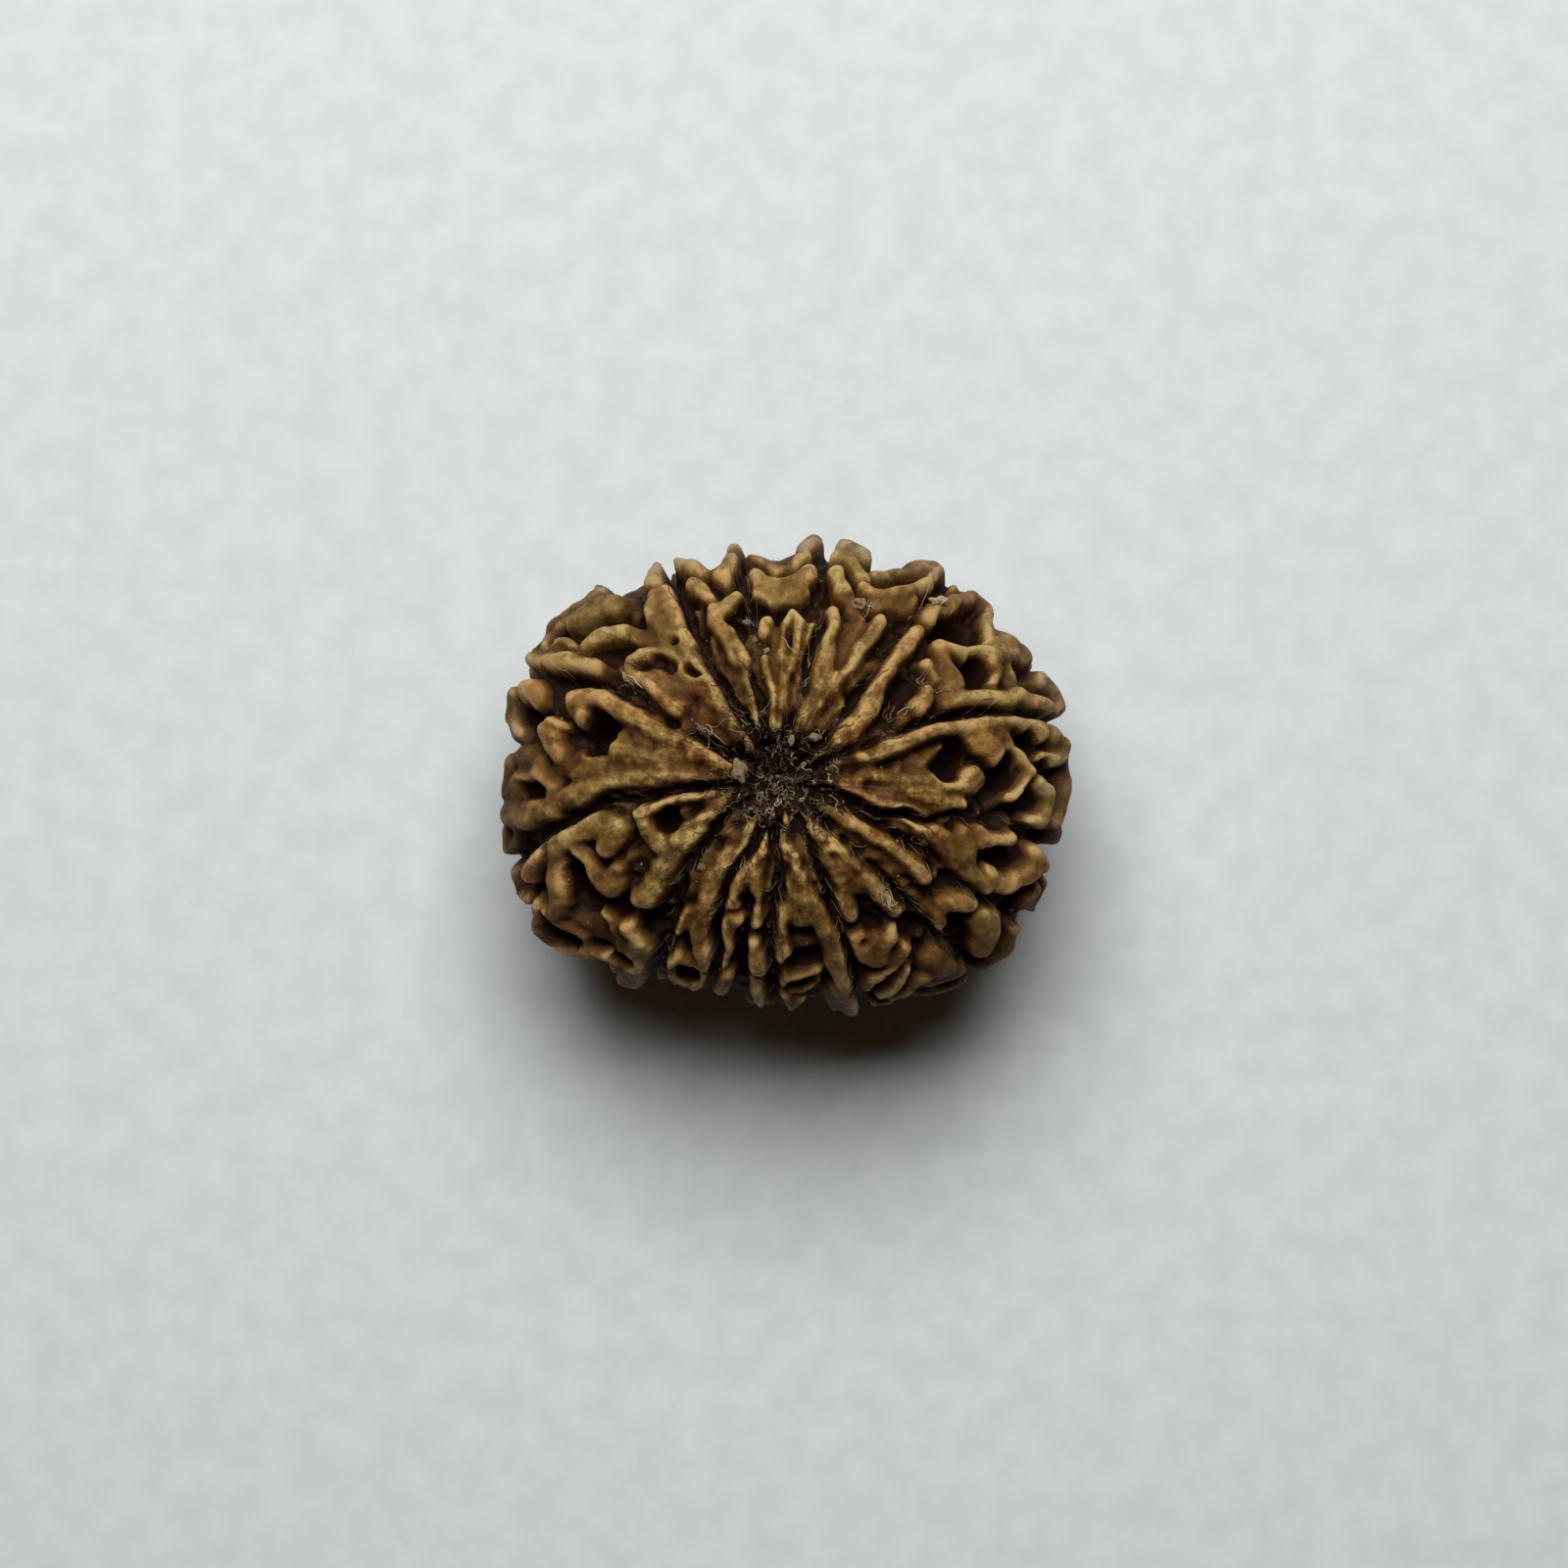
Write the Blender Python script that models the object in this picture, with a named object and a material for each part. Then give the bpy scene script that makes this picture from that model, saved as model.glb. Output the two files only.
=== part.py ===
"""A rudraksha seed: the bare stone of the fruit, lying with its pole up.

The stone is one woody piece.  It is a flattened, slightly squarish ball, cut from pole to pole into
fourteen lobes by narrow grooves.  Each lobe is covered with worm-like ridges, arms and knobs that
stand about two millimetres over dark hollows, and a small pit marks each pole.

A place on the stone is given by two angles: its azimuth, counter-clockwise from +X seen from above,
and its colatitude, 0 at the upper pole, 90 at the rim and 180 at the lower pole.  Levels are depths
under the skin that the highest ridge tops touch, so they are zero or negative.  The upper half
follows ridges placed one by one.  The lower half, out of sight, follows a formula.
"""

import bmesh
import bpy
import numpy as np

MM = 0.001

# The driving sizes of the stone
LENGTH = 30.0 * MM
WIDTH = 25.3 * MM
HEIGHT = 20.0 * MM
SQUARENESS = 2.35                  # exponent of the outline seen from above, 2 is an ellipse
POLE_SHIFT = (-0.26 * MM, -0.20 * MM)

# The relief
FLOOR_DEPTH = 1.6 * MM             # hollows between the ridges
GROOVE_DEPTH = 2.2 * MM            # grooves between the lobes
GROOVE_HALF_WIDTH = 0.12 * MM
WALL = 1.9                         # fall of a ridge's side over its run
BLEND = 0.25 * MM                  # softness where ridges run together
WANDER = 0.10 * MM                 # how far ridges stray from their smooth routes
WANDER_WAVELENGTH = 2.4 * MM

# The pits at the poles
PIT_DEPTH = 2.3 * MM
PIT_ANGLE = 13.0

# The worm-like ridges of the lower half
WORM_WAVELENGTH = 3.1 * MM
WORM_LENGTHENING = 1.5             # how much longer they run along a lobe than across it
WORM_STARTS = 82.0
WORM_FULL = 94.0

# What it lies on
FLAT_CUT = 0.60 * MM               # how much the lowest ridge tops are worn flat
REST_COLATITUDES = (156, 165)
REST_AZIMUTHS = (31, 137, 218, 301)
REST_HALF_WIDTH = 1.2

# The mesh
BALL_SUBDIVISIONS = 7
FACES = 11600

# How far the rim of each stretch reaches, as a share of the plain outline: azimuth, share
REACH = [(0, 1.0), (20, 0.985), (35, 0.97), (50, 0.965), (56, 0.975), (65, 0.94), (75, 0.985), (84, 1.0), (92, 0.96),
         (101, 0.985), (108, 0.95), (118, 0.965), (127, 0.955), (135, 0.985), (150, 1.0), (180, 0.99),
         (195, 1.0), (212, 1.03), (222, 1.0), (232, 0.97), (245, 0.94), (262, 0.965), (280, 1.0),
         (295, 0.98), (312, 1.01), (330, 1.0), (345, 0.98), (360, 1.0)]

# The fourteen grooves between the lobes, from the upper pole to the rim: azimuth, colatitude
GROOVES = [
    [(25, 14), (23, 22), (22.5, 36), (19, 46), (16.5, 57), (13.5, 70), (12, 88)],
    [(45, 16), (50, 28), (53, 38), (53, 50), (51.5, 62), (51, 75), (50.5, 90)],
    [(80, 13), (78.5, 24), (77.5, 36), (78.5, 46), (79.5, 58), (80, 72), (80, 90)],
    [(107, 14), (106, 25), (104, 35), (101, 45), (100, 58), (99.7, 70), (99.5, 90)],
    [(122, 13), (121, 25), (121, 38), (120.5, 47), (118.5, 60), (118, 78), (118, 90)],
    [(153, 14), (151, 24), (151, 32), (150, 42), (153, 52), (156, 62), (157, 75), (156.5, 90)],
    [(186, 12), (186, 26), (188, 34), (189, 44), (192.5, 56), (195, 66), (197, 80), (197, 90)],
    [(212, 11), (218, 20), (224, 30), (230, 38), (234.5, 50), (237, 66), (238.5, 86)],
    [(246, 12), (243, 20), (242.5, 30), (245.5, 41), (248.5, 51), (250, 62), (251, 88)],
    [(264, 12), (265, 20), (266.5, 28), (266, 40), (266, 55), (266.5, 75), (267, 90)],
    [(293, 12), (292.5, 20), (291.5, 28), (290.5, 38), (289.7, 47), (289.5, 58), (289, 75), (288, 90)],
    [(316, 12), (315, 20), (315.5, 30), (314, 42), (313, 53), (314.5, 64), (314, 78), (314, 90)],
    [(338, 12), (336, 20), (334, 30), (329, 41), (328.5, 52), (328.7, 62), (329.5, 75), (330, 90)],
    [(343, 12), (342, 20), (344, 29), (347.5, 38), (350, 47), (349.5, 55), (347.8, 64), (346.5, 75), (345.5, 90)],
]

# The ridges of each lobe of the upper half.  Each has its half width and the drop of its top, both in
# millimetres, and then its route as azimuth, colatitude.
RIDGES = {
    "right": [
        (0.45, 0.2, (14, 12), (17, 21)),
        (0.60, 0.0, (17, 21), (18, 33), (18, 38), (15, 44)),
        (0.60, 0.0, (15, 44), (15.5, 50), (15, 56), (12.5, 62), (11, 65)),
        (0.80, 0.0, (14, 44), (9.5, 45), (7, 48)),
        (0.60, 0.2, (12, 50), (9, 52)),
        (0.90, 0.3, (2, 13), (359, 22), (357, 33)),
        (0.75, 0.4, (352, 17), (350.5, 26), (352, 34)),
        (0.75, 0.1, (357, 30), (358.5, 38), (0, 42)),
        (0.45, 0.1, (350, 12), (346, 20), (344, 29)),
        (0.50, 0.1, (353, 28), (351, 38)),
        (0.26, 0.2, (9, 51), (5.5, 57), (2, 60), (357, 55), (355, 52)),
        (0.45, 0.9, (5, 55), (0, 56)),
        (0.55, 0.1, (359, 63), (356, 69), (352, 67), (350, 63)),
        (0.65, 0.0, (11, 70), (8, 76), (5, 74)),
        (0.50, 0.1, (5, 66), (4.5, 74)),
        (0.75, 0.25, (6, 81), (0, 83), (354, 82), (350.5, 80)),
            ],
    "right above": [
        (0.45, 0.3, (34, 12), (36, 17)),
        (0.62, 0.0, (37, 18), (39, 24), (42, 27)),
        (0.46, 0.0, (42, 27), (45.5, 32), (47, 39), (48.5, 48)),
        (0.52, 0.15, (29.5, 31), (31.5, 37)),
        (0.40, 0.2, (40, 43), (36.5, 43), (33, 42)),
        (0.62, 0.1, (26, 41), (30, 45), (36, 47), (40, 49)),
        (0.55, 0.0, (25, 42), (22.5, 48), (20.5, 54), (20, 60), (17.5, 67), (15, 76)),
        (0.55, 0.0, (40, 49), (35, 55), (31.5, 62), (30, 70)),
        (0.80, 0.0, (34, 68), (31.5, 73), (28.5, 79)),
        (0.38, 0.2, (28.5, 61), (25, 56)),
        (0.50, 0.4, (27, 66), (24, 62)),
        (0.60, 0.1, (22, 78), (19, 84), (15, 86)),
        (0.50, 0.2, (49, 56), (48, 63), (46.5, 73), (45, 82)),
        (0.50, 0.1, (45, 83), (41, 81), (38, 74), (35.5, 68)),
        (0.32, 0.3, (50, 86), (49, 78)),
        (0.85, 0.65, (35, 26), (38, 37), (41, 42)),
    ],
    "upper right": [
        (0.60, 0.1, (70, 13), (69, 18), (68, 24), (65, 28)),
        (0.46, 0.0, (68, 24), (70.5, 33), (72.3, 41), (74.3, 45.5)),
        (0.36, 0.0, (64, 26), (62, 29), (59.8, 37), (58.8, 46)),
        (0.80, 0.55, (66.5, 31), (66, 43)),
        (0.35, 0.4, (63, 36), (64, 47), (69, 49)),
        (0.52, 0.0, (75.5, 61), (73, 54)),
        (0.50, 0.3, (72, 52), (67, 51), (63, 52)),
        (0.55, 0.0, (67, 59), (62, 57), (59.5, 58), (56, 61), (53.5, 69), (53, 79)),
        (0.60, 0.3, (63, 54), (58, 55), (54, 57)),
        (0.78, 0.0, (76.3, 82), (72.5, 82)),
        (0.55, 0.1, (77, 72), (74, 70), (69, 64)),
        (0.40, 0.3, (67, 70), (63, 72), (60, 77)),
        (0.95, 0.0, (59, 80), (54.5, 80)),
        (0.30, 0.5, (73, 28), (74, 36)),
    ],
    "top": [
        (0.24, 0.1, (97, 12), (97, 20), (97.5, 31)),
        (0.32, 0.0, (97, 38), (96.5, 43)),
        (0.28, 0.2, (91, 12), (89.5, 24), (88, 30)),
        (0.27, 0.0, (86, 27), (84.3, 35), (84.3, 41), (86.5, 44), (89, 41)),
        (0.25, 0.15, (91, 31), (89.5, 41)),
        (0.30, 0.4, (80.5, 16), (80.5, 28), (80.5, 41)),
        (0.62, 0.0, (97.5, 60), (96, 57), (90, 56), (85.5, 57), (83.3, 60)),
        (0.80, 0.35, (95, 53), (86.5, 53)),
        (0.55, 0.50, (92, 18), (92, 30), (91, 40)),
        (0.48, 0.3, (97.5, 75), (94, 71), (91.5, 67)),
        (0.60, 0.0, (84, 88), (85, 82)),
        (0.50, 0.15, (87.5, 67), (84.5, 71)),
    ],
    "upper left, narrow": [
        (0.30, 0.4, (114, 12), (112, 20), (109.5, 28)),
        (0.50, 0.0, (108.7, 31), (110.8, 38), (112.6, 45), (112, 49)),
        (0.48, 0.1, (110, 49), (104.5, 53)),
        (0.45, 0.0, (112, 53), (113.5, 57), (115, 61)),
        (0.60, 0.0, (102.3, 84), (103.5, 73), (107, 63)),
        (0.48, 0.0, (116.3, 78), (114, 74), (111, 66)),
        (0.25, 0.8, (117, 20), (117, 40)),
    ],
    "upper left": [
        (0.55, 0.1, (132, 12), (130, 20), (129, 25)),
        (0.50, 0.0, (129, 24), (127, 32), (125.7, 40), (125, 48)),
        (0.68, 0.0, (125, 48), (123.5, 56), (121.7, 62)),
        (0.58, 0.1, (121, 84), (123.5, 71)),
        (0.45, 1.0, (132, 74), (131, 62)),
        (0.60, 0.0, (134.5, 79), (137, 75), (141, 77), (146, 81)),
        (0.95, 0.12, (134, 69), (138, 70), (143, 73)),
        (1.10, 0.15, (137, 72), (141, 74), (145, 77)),
        (0.35, 0.2, (148, 80), (150, 72), (147, 66)),
        (0.46, 0.0, (146, 58), (141.5, 56), (137, 53)),
        (0.50, 0.45, (136, 52), (133, 47)),
        (0.50, 0.0, (134, 41), (138, 43), (142, 43.5), (144.8, 41), (144.5, 36), (144.4, 31), (144.6, 27)),
        (1.00, 0.35, (132, 22), (132, 31), (131, 42)),
        (0.60, 0.35, (136, 28), (140, 36)),
        (0.75, 0.20, (129, 45), (127.5, 54), (125, 63)),
        (0.60, 0.0, (155, 77), (153.5, 70), (152, 61), (149, 51)),
        (0.45, 0.3, (152.5, 84), (150.5, 76), (150.5, 68)),
    ],
    "left above": [
        (0.50, 0.1, (163, 11), (160, 20), (159.5, 27), (157.5, 33)),
        (0.58, 0.0, (157.5, 33), (157, 39), (155.5, 43), (156.5, 47), (159, 50)),
        (0.42, 0.1, (160.5, 47), (165.5, 46)),
        (0.85, 0.25, (166, 16), (169, 24), (170, 30), (171, 36)),
        (0.60, 0.1, (174, 13), (176, 21), (179, 30), (181, 38), (184.5, 46), (185, 51)),
        (0.80, 0.40, (170, 16), (174, 27), (176, 37), (178, 46)),
        (0.80, 0.45, (162, 20), (163.5, 29), (165, 35)),
        (0.90, 0.55, (174, 44), (177, 54)),
        (0.55, 0.4, (177, 38), (178.5, 48)),
        (0.75, 0.1, (168.5, 60), (170, 57)),
        (0.55, 0.15, (171.5, 57), (174, 53)),
        (0.35, 0.2, (166, 58), (166.5, 53)),
        (0.60, 0.25, (161, 50), (163.5, 46)),
        (0.93, 0.0, (160, 69), (161, 67)),
        (0.72, 0.15, (163, 84), (167.5, 82), (170, 78)),
        (0.95, 0.45, (175, 74), (177, 62)),
        (0.42, 0.2, (183, 79), (179, 71), (179, 60), (182, 54), (186, 57), (186, 68)),
        (0.85, 0.25, (177, 81), (183, 84)),
        (1.00, 0.35, (180, 72), (186, 76)),
        (0.75, 0.1, (187, 80), (188.5, 70), (188, 60), (187, 54)),
        (0.60, 0.5, (190, 74), (193, 80), (194, 86)),
    ],
    "left below": [
        (0.50, 0.0, (188.5, 16), (190, 26), (194, 30), (201, 30), (208, 28)),
        (0.56, 0.0, (206, 11), (208, 19), (213, 26), (218, 33), (220, 37)),
        (0.80, 0.0, (219.5, 36), (221.5, 41)),
        (0.66, 0.0, (201.5, 40), (197, 36.5), (193.5, 41)),
        (0.80, 0.0, (193.5, 42), (195, 48), (199, 54), (204, 58), (208.5, 62)),
        (0.62, 0.0, (208.5, 62), (212, 66)),
        (0.50, 0.1, (201, 51), (205.5, 48), (209, 45.5)),
        (0.60, 0.30, (199.5, 50), (203, 48.5)),
        (0.74, 0.1, (209.5, 44.5), (212, 44.5)),
        (0.50, 0.2, (209.5, 43), (208.5, 40)),
        (0.64, 0.1, (201, 70), (199.5, 68), (198, 63)),
        (0.50, 0.2, (190.5, 87), (194.5, 88)),
        (0.42, 0.3, (198.5, 86), (203, 88), (205, 79)),
        (0.50, 0.25, (207.5, 74), (211, 83), (216, 84), (221, 77), (226, 69), (228.5, 76), (229.5, 83)),
        (0.95, 0.60, (213, 67), (219, 65), (225, 62)),
        (0.36, 0.4, (212, 70), (217, 67), (221, 71)),
        (0.28, 0.4, (214, 53), (220, 53), (224, 58), (227, 63)),
        (0.60, 0.0, (224.5, 52), (228.5, 56)),
        (0.76, 0.0, (229, 57), (231.5, 65), (232.5, 76), (233, 83)),
    ],
    "lower left": [
        (0.34, 0.1, (242, 13), (238, 20)),
        (0.62, 0.0, (237, 21), (235.5, 27), (237.5, 34), (241, 43), (245, 53), (247, 58)),
        (0.30, 0.2, (235.8, 40), (235.5, 47)),
        (0.30, 0.1, (238.7, 61), (241, 68), (246, 74), (248.5, 68), (243.5, 58), (239.5, 57), (238.7, 61)),
        (0.30, 0.8, (227, 24), (230, 32)),
    ],
    "bottom, left of the middle": [
        (0.36, 0.0, (254, 12), (252, 18)),
        (0.62, 0.1, (251.5, 20), (252, 27)),
        (0.40, 0.0, (249, 25), (248, 35)),
        (0.32, 0.0, (255, 24), (258, 31), (259.5, 39)),
        (0.52, 0.0, (251, 39), (250, 46), (250.7, 55)),
        (0.36, 0.0, (260.7, 46), (261.5, 51), (262.7, 56)),
        (0.48, 0.2, (254, 60), (253.3, 72)),
        (0.32, 0.1, (261.5, 61), (263, 68), (264.5, 77)),
        (0.20, 0.7, (262, 18), (263, 37)),
    ],
    "bottom": [
        (0.36, 0.1, (271.5, 11), (273.5, 19)),
        (0.30, 0.05, (278, 19), (278.3, 23)),
        (0.55, 0.0, (278.3, 24), (278, 29)),
        (0.90, 0.0, (278.3, 30), (277.6, 36)),
        (0.42, 0.0, (272, 33), (268.9, 37), (268.5, 42), (270, 49)),
        (0.56, 0.0, (281, 31), (285, 39), (286, 47), (286.3, 56), (286, 63)),
        (0.24, 0.5, (271.5, 47), (275.5, 48), (280, 46)),
        (0.75, 0.70, (274.5, 42), (279, 43)),
        (0.26, 0.15, (269.5, 62), (271, 58), (275, 56.5), (278, 58)),
        (0.50, 0.55, (273, 61), (275, 60)),
        (0.34, 0.25, (269.8, 68), (271.5, 75), (274, 69)),
        (0.65, 0.1, (284, 64), (285.5, 72), (286, 81)),
        (0.40, 0.5, (281, 66), (282, 82)),
        (0.22, 0.6, (284, 14), (287, 26)),
    ],
    "bottom, right of the middle": [
        (0.55, 0.0, (302, 12), (305, 19), (308, 28), (310.5, 38.5)),
        (0.48, 0.0, (302.5, 19), (300, 27)),
        (0.36, 0.0, (300, 27), (296, 37.5)),
        (0.75, 0.15, (304, 21), (305, 29)),
        (0.62, 0.0, (293.5, 46), (294.5, 51), (297, 54), (300, 50), (305, 46)),
        (0.33, 0.1, (291.5, 66), (297, 60), (302, 55), (306, 51)),
        (0.42, 0.1, (296, 70), (300, 64), (304, 63), (308, 60)),
        (1.20, 0.10, (309.5, 64), (309, 70)),
        (0.90, 0.25, (304.5, 76), (308, 78), (311, 78)),
        (0.45, 0.3, (290.5, 83), (295, 84)),
        (0.50, 0.3, (301, 79), (306, 84), (311, 86)),
        (0.25, 0.5, (295.5, 13), (296, 24)),
    ],
    "lower right": [
        (0.48, 0.0, (329.5, 12), (329, 20), (327, 29), (324.7, 37)),
        (0.62, 0.6, (322, 16), (320.5, 25), (322.5, 32)),
        (0.58, 0.0, (321.8, 46), (323.3, 47.5), (325.8, 51)),
        (0.80, 0.7, (315, 38), (317, 45)),
        (0.40, 0.2, (318, 47), (315.8, 51)),
        (0.35, 1.0, (318, 31), (318, 38)),
        (1.00, 0.05, (324.5, 60), (321.5, 66)),
        (0.70, 0.2, (319, 69), (317, 71)),
        (0.42, 0.3, (326.5, 77), (321, 85), (316, 85)),
    ],
    "right below": [
        (0.30, 0.3, (340, 13), (338, 21)),
        (0.62, 0.0, (342.5, 31), (338, 36)),
        (0.80, 0.08, (337.5, 37), (335, 44)),
        (0.56, 0.0, (335, 42), (331.5, 52)),
        (0.50, 0.1, (343, 41), (340.5, 43), (337.5, 44)),
        (0.45, 0.0, (342, 46), (345, 55.5)),
        (0.50, 0.4, (343, 41), (344, 46)),
        (0.60, 0.0, (343, 67), (341.5, 73)),
        (0.52, 0.0, (340, 69), (337, 62), (333.5, 58), (333.5, 54), (335, 51)),
        (0.50, 0.4, (338, 83), (334, 83), (332, 79)),
        (0.45, 0.4, (336, 77), (331.5, 75), (331, 84)),
    ],
}

# Holes and deep hollows: radius of the bottom and depth in millimetres, then azimuth, colatitude
HOLES = [
    (0.48, 3.0, (4, 35), (9, 38)), (0.45, 3.0, (3, 52), (0, 50)), (0.40, 2.8, (8, 61)), (0.35, 2.6, (2, 66)),
    (0.40, 2.9, (30.5, 55)), (0.35, 2.6, (24, 68)), (0.70, 3.1, (42.5, 58), (40, 63)), (0.35, 2.6, (52.5, 71)),
    (0.30, 2.4, (61.5, 64)), (0.25, 2.1, (98, 48), (101, 49)), (0.20, 1.7, (90, 61)), (0.30, 2.4, (107, 45)),
    (0.10, 1.0, (128.3, 42)), (0.30, 0.8, (134, 36), (137, 39)), (0.10, 1.1, (128, 31), (128.5, 34)), (0.30, 2.6, (147.5, 73)),
    (0.55, 3.1, (164, 42), (168, 44)), (0.10, 0.8, (164.5, 33.5)), (0.45, 2.9, (166, 69)), (0.22, 1.7, (182.5, 62)),
    (0.42, 3.2, (207, 52.5), (210.5, 54.5), (213, 55.5)), (0.28, 2.6, (198, 24), (202, 25)), (0.50, 1.9, (214.5, 75.5), (217.5, 76.5)), (0.30, 2.6, (229, 66)),
    (0.34, 2.8, (243, 63), (244.5, 67)), (0.16, 2.4, (253.7, 33)), (0.10, 1.7, (276, 41.5)), (0.22, 2.3, (274, 51), (277.5, 51)),
    (0.20, 1.6, (295.7, 44)), (0.45, 3.1, (316.5, 55)), (0.25, 2.8, (340, 52), (340.3, 57)), (0.30, 2.8, (310, 46)),
    (0.40, 2.8, (37, 90)), (0.40, 2.8, (64.5, 90)), (0.50, 2.9, (129.5, 88)), (0.35, 2.6, (171.5, 84)),
]


def waves(places, wavelength, seed, count=28):
    """A smooth uneven value of about -2 to 2: the sum of seeded plane waves of nearly one wavelength."""
    draw = np.random.default_rng(seed)
    directions = draw.normal(size=(count, 3))
    directions /= np.linalg.norm(directions, axis=1, keepdims=True)
    lengths = wavelength * draw.uniform(0.8, 1.25, count)
    phases = draw.uniform(0.0, 2.0 * np.pi, count)
    swing = places @ (directions * (2.0 * np.pi / lengths)[:, None]).T + phases
    return np.cos(swing).sum(axis=1) * np.sqrt(2.0 / count)


def smooth_step(value, low, high):
    """0 under low, 1 over high and an S-shaped rise between them."""
    share = np.clip((value - low) / (high - low), 0.0, 1.0)
    return share * share * (3.0 - 2.0 * share)


def softer_max(first, second):
    """The higher of two levels, with the crease where they cross rounded off."""
    mix = np.clip(0.5 + 0.5 * (first - second) / BLEND, 0.0, 1.0)
    return second + (first - second) * mix + BLEND * mix * (1.0 - mix)


def skin(azimuth, colatitude):
    """Points and outward normals of the plain body that the ridge tops touch, from angles in degrees.

    Seen from above the body is a superellipse, and its upright sections are half ellipses.
    """
    turn = np.radians(azimuth)
    lean = np.radians(colatitude)
    across = np.cos(turn)
    along = np.sin(turn)
    outline = (np.abs(across * 2.0 / LENGTH) ** SQUARENESS
               + np.abs(along * 2.0 / WIDTH) ** SQUARENESS) ** (-1.0 / SQUARENESS)
    stretches = np.array(REACH)
    outline = outline * np.interp(np.asarray(azimuth) % 360.0, stretches[:, 0], stretches[:, 1])
    spread = np.sin(lean)
    x = outline * across * spread + POLE_SHIFT[0] * (1.0 - spread)
    y = outline * along * spread + POLE_SHIFT[1] * (1.0 - spread)
    z = 0.5 * HEIGHT * np.cos(lean)
    points = np.stack([x, y, z], axis=-1)
    normals = points / np.array([LENGTH, WIDTH, HEIGHT]) ** 2
    normals /= np.linalg.norm(normals, axis=-1, keepdims=True)
    return points, normals


def distance_to_route(points, route):
    """The distance from each point to a route of straight runs between places on the skin."""
    corners = skin(*np.array(route, dtype=float).T)[0]
    nearest = np.linalg.norm(points - corners[0], axis=1)
    for start, end in zip(corners[:-1], corners[1:]):
        run = end - start
        share = np.clip((points - start) @ run / (run @ run), 0.0, 1.0)
        gap = points - start - share[:, None] * run
        nearest = np.minimum(nearest, np.sqrt((gap * gap).sum(axis=1)))
    return nearest


def ridge_level(points, half_width, drop, route):
    """A round-topped ridge with steep straight sides."""
    distance = distance_to_route(points, route)
    inside = np.minimum(distance / half_width, 1.0)
    rounding = half_width * (1.0 - np.sqrt(1.0 - inside * inside))
    return -drop - rounding - WALL * np.maximum(distance - half_width, 0.0)


def cut_level(points, half_width, depth, route):
    """A cut with a narrow flat bottom and the same steep sides."""
    distance = distance_to_route(points, route)
    return -depth + WALL * np.maximum(distance - half_width, 0.0)


def whole_groove(route, seed):
    """A groove's route from one pole to the other, wandering a little on the lower half."""
    draw = np.random.default_rng(seed)
    azimuth = route[-1][0]
    lower = []
    for colatitude in (102, 114, 126, 138, 150, 160, 168):
        lower.append((azimuth + draw.uniform(-2.5, 2.5), colatitude))
    return list(route) + lower


def worm_level(azimuth, colatitude):
    """The worm-like ridges of the lower half.

    The surface is unrolled on a drum, so that ridges grow narrower and closer towards the pole as the
    lobes do, and a ridge stands wherever a field of waves is above a threshold.
    """
    turn = np.radians(azimuth)
    drum = 0.42 * LENGTH
    unrolled = np.stack([drum * np.cos(turn), drum * np.sin(turn),
                         np.radians(colatitude) * drum / WORM_LENGTHENING], axis=1)
    field = waves(unrolled, WORM_WAVELENGTH, seed=11)
    standing = smooth_step(field, -0.75, 0.0)
    crown = smooth_step(field, -0.2, 1.3)
    shown = smooth_step(colatitude, WORM_STARTS, WORM_FULL)
    return -FLOOR_DEPTH * (1.0 - standing) - 0.5 * MM * (1.0 - crown) - 2.0 * FLOOR_DEPTH * (1.0 - shown)


def relief(azimuth, colatitude, points):
    """The level of the surface at each place."""
    strayed = points + WANDER * np.stack([waves(points, WANDER_WAVELENGTH, seed) for seed in (1, 2, 3)], axis=1)
    level = softer_max(worm_level(azimuth, colatitude), np.full(len(points), -FLOOR_DEPTH))
    for lobe in RIDGES.values():
        for half_width, drop, *route in lobe:
            level = softer_max(ridge_level(strayed, half_width * MM, drop * MM, route), level)
    for number, route in enumerate(GROOVES):
        groove = cut_level(strayed, GROOVE_HALF_WIDTH, GROOVE_DEPTH, whole_groove(route, number))
        level = -softer_max(-groove, -level)
    for radius, depth, *route in HOLES:
        level = -softer_max(-cut_level(strayed, radius * MM, depth * MM, route), -level)
    for azimuth_of_rest in REST_AZIMUTHS:
        route = [(azimuth_of_rest, lean) for lean in REST_COLATITUDES]
        level = softer_max(ridge_level(points, REST_HALF_WIDTH * MM, 0.0, route), level)
    pole_angle = np.minimum(colatitude, 180.0 - colatitude)
    return level - PIT_DEPTH * (1.0 - smooth_step(pole_angle, 0.3 * PIT_ANGLE, PIT_ANGLE))


def surface(azimuth, colatitude):
    """Points of the finished surface from flat arrays of angles in degrees."""
    points, normals = skin(azimuth, colatitude)
    return points + normals * relief(azimuth, colatitude, points)[:, None]


def fine_ball():
    """A closed ball of even triangles, with the azimuth and colatitude of its corners."""
    ball = bmesh.new()
    bmesh.ops.create_icosphere(ball, subdivisions=BALL_SUBDIVISIONS, radius=1.0)
    mesh = bpy.data.meshes.new("fine_stone")
    ball.to_mesh(mesh)
    ball.free()
    corners = np.empty(len(mesh.vertices) * 3)
    mesh.vertices.foreach_get("co", corners)
    x, y, z = corners.reshape(-1, 3).T
    return mesh, np.degrees(np.arctan2(y, x)), np.degrees(np.arctan2(np.hypot(x, y), z))


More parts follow.
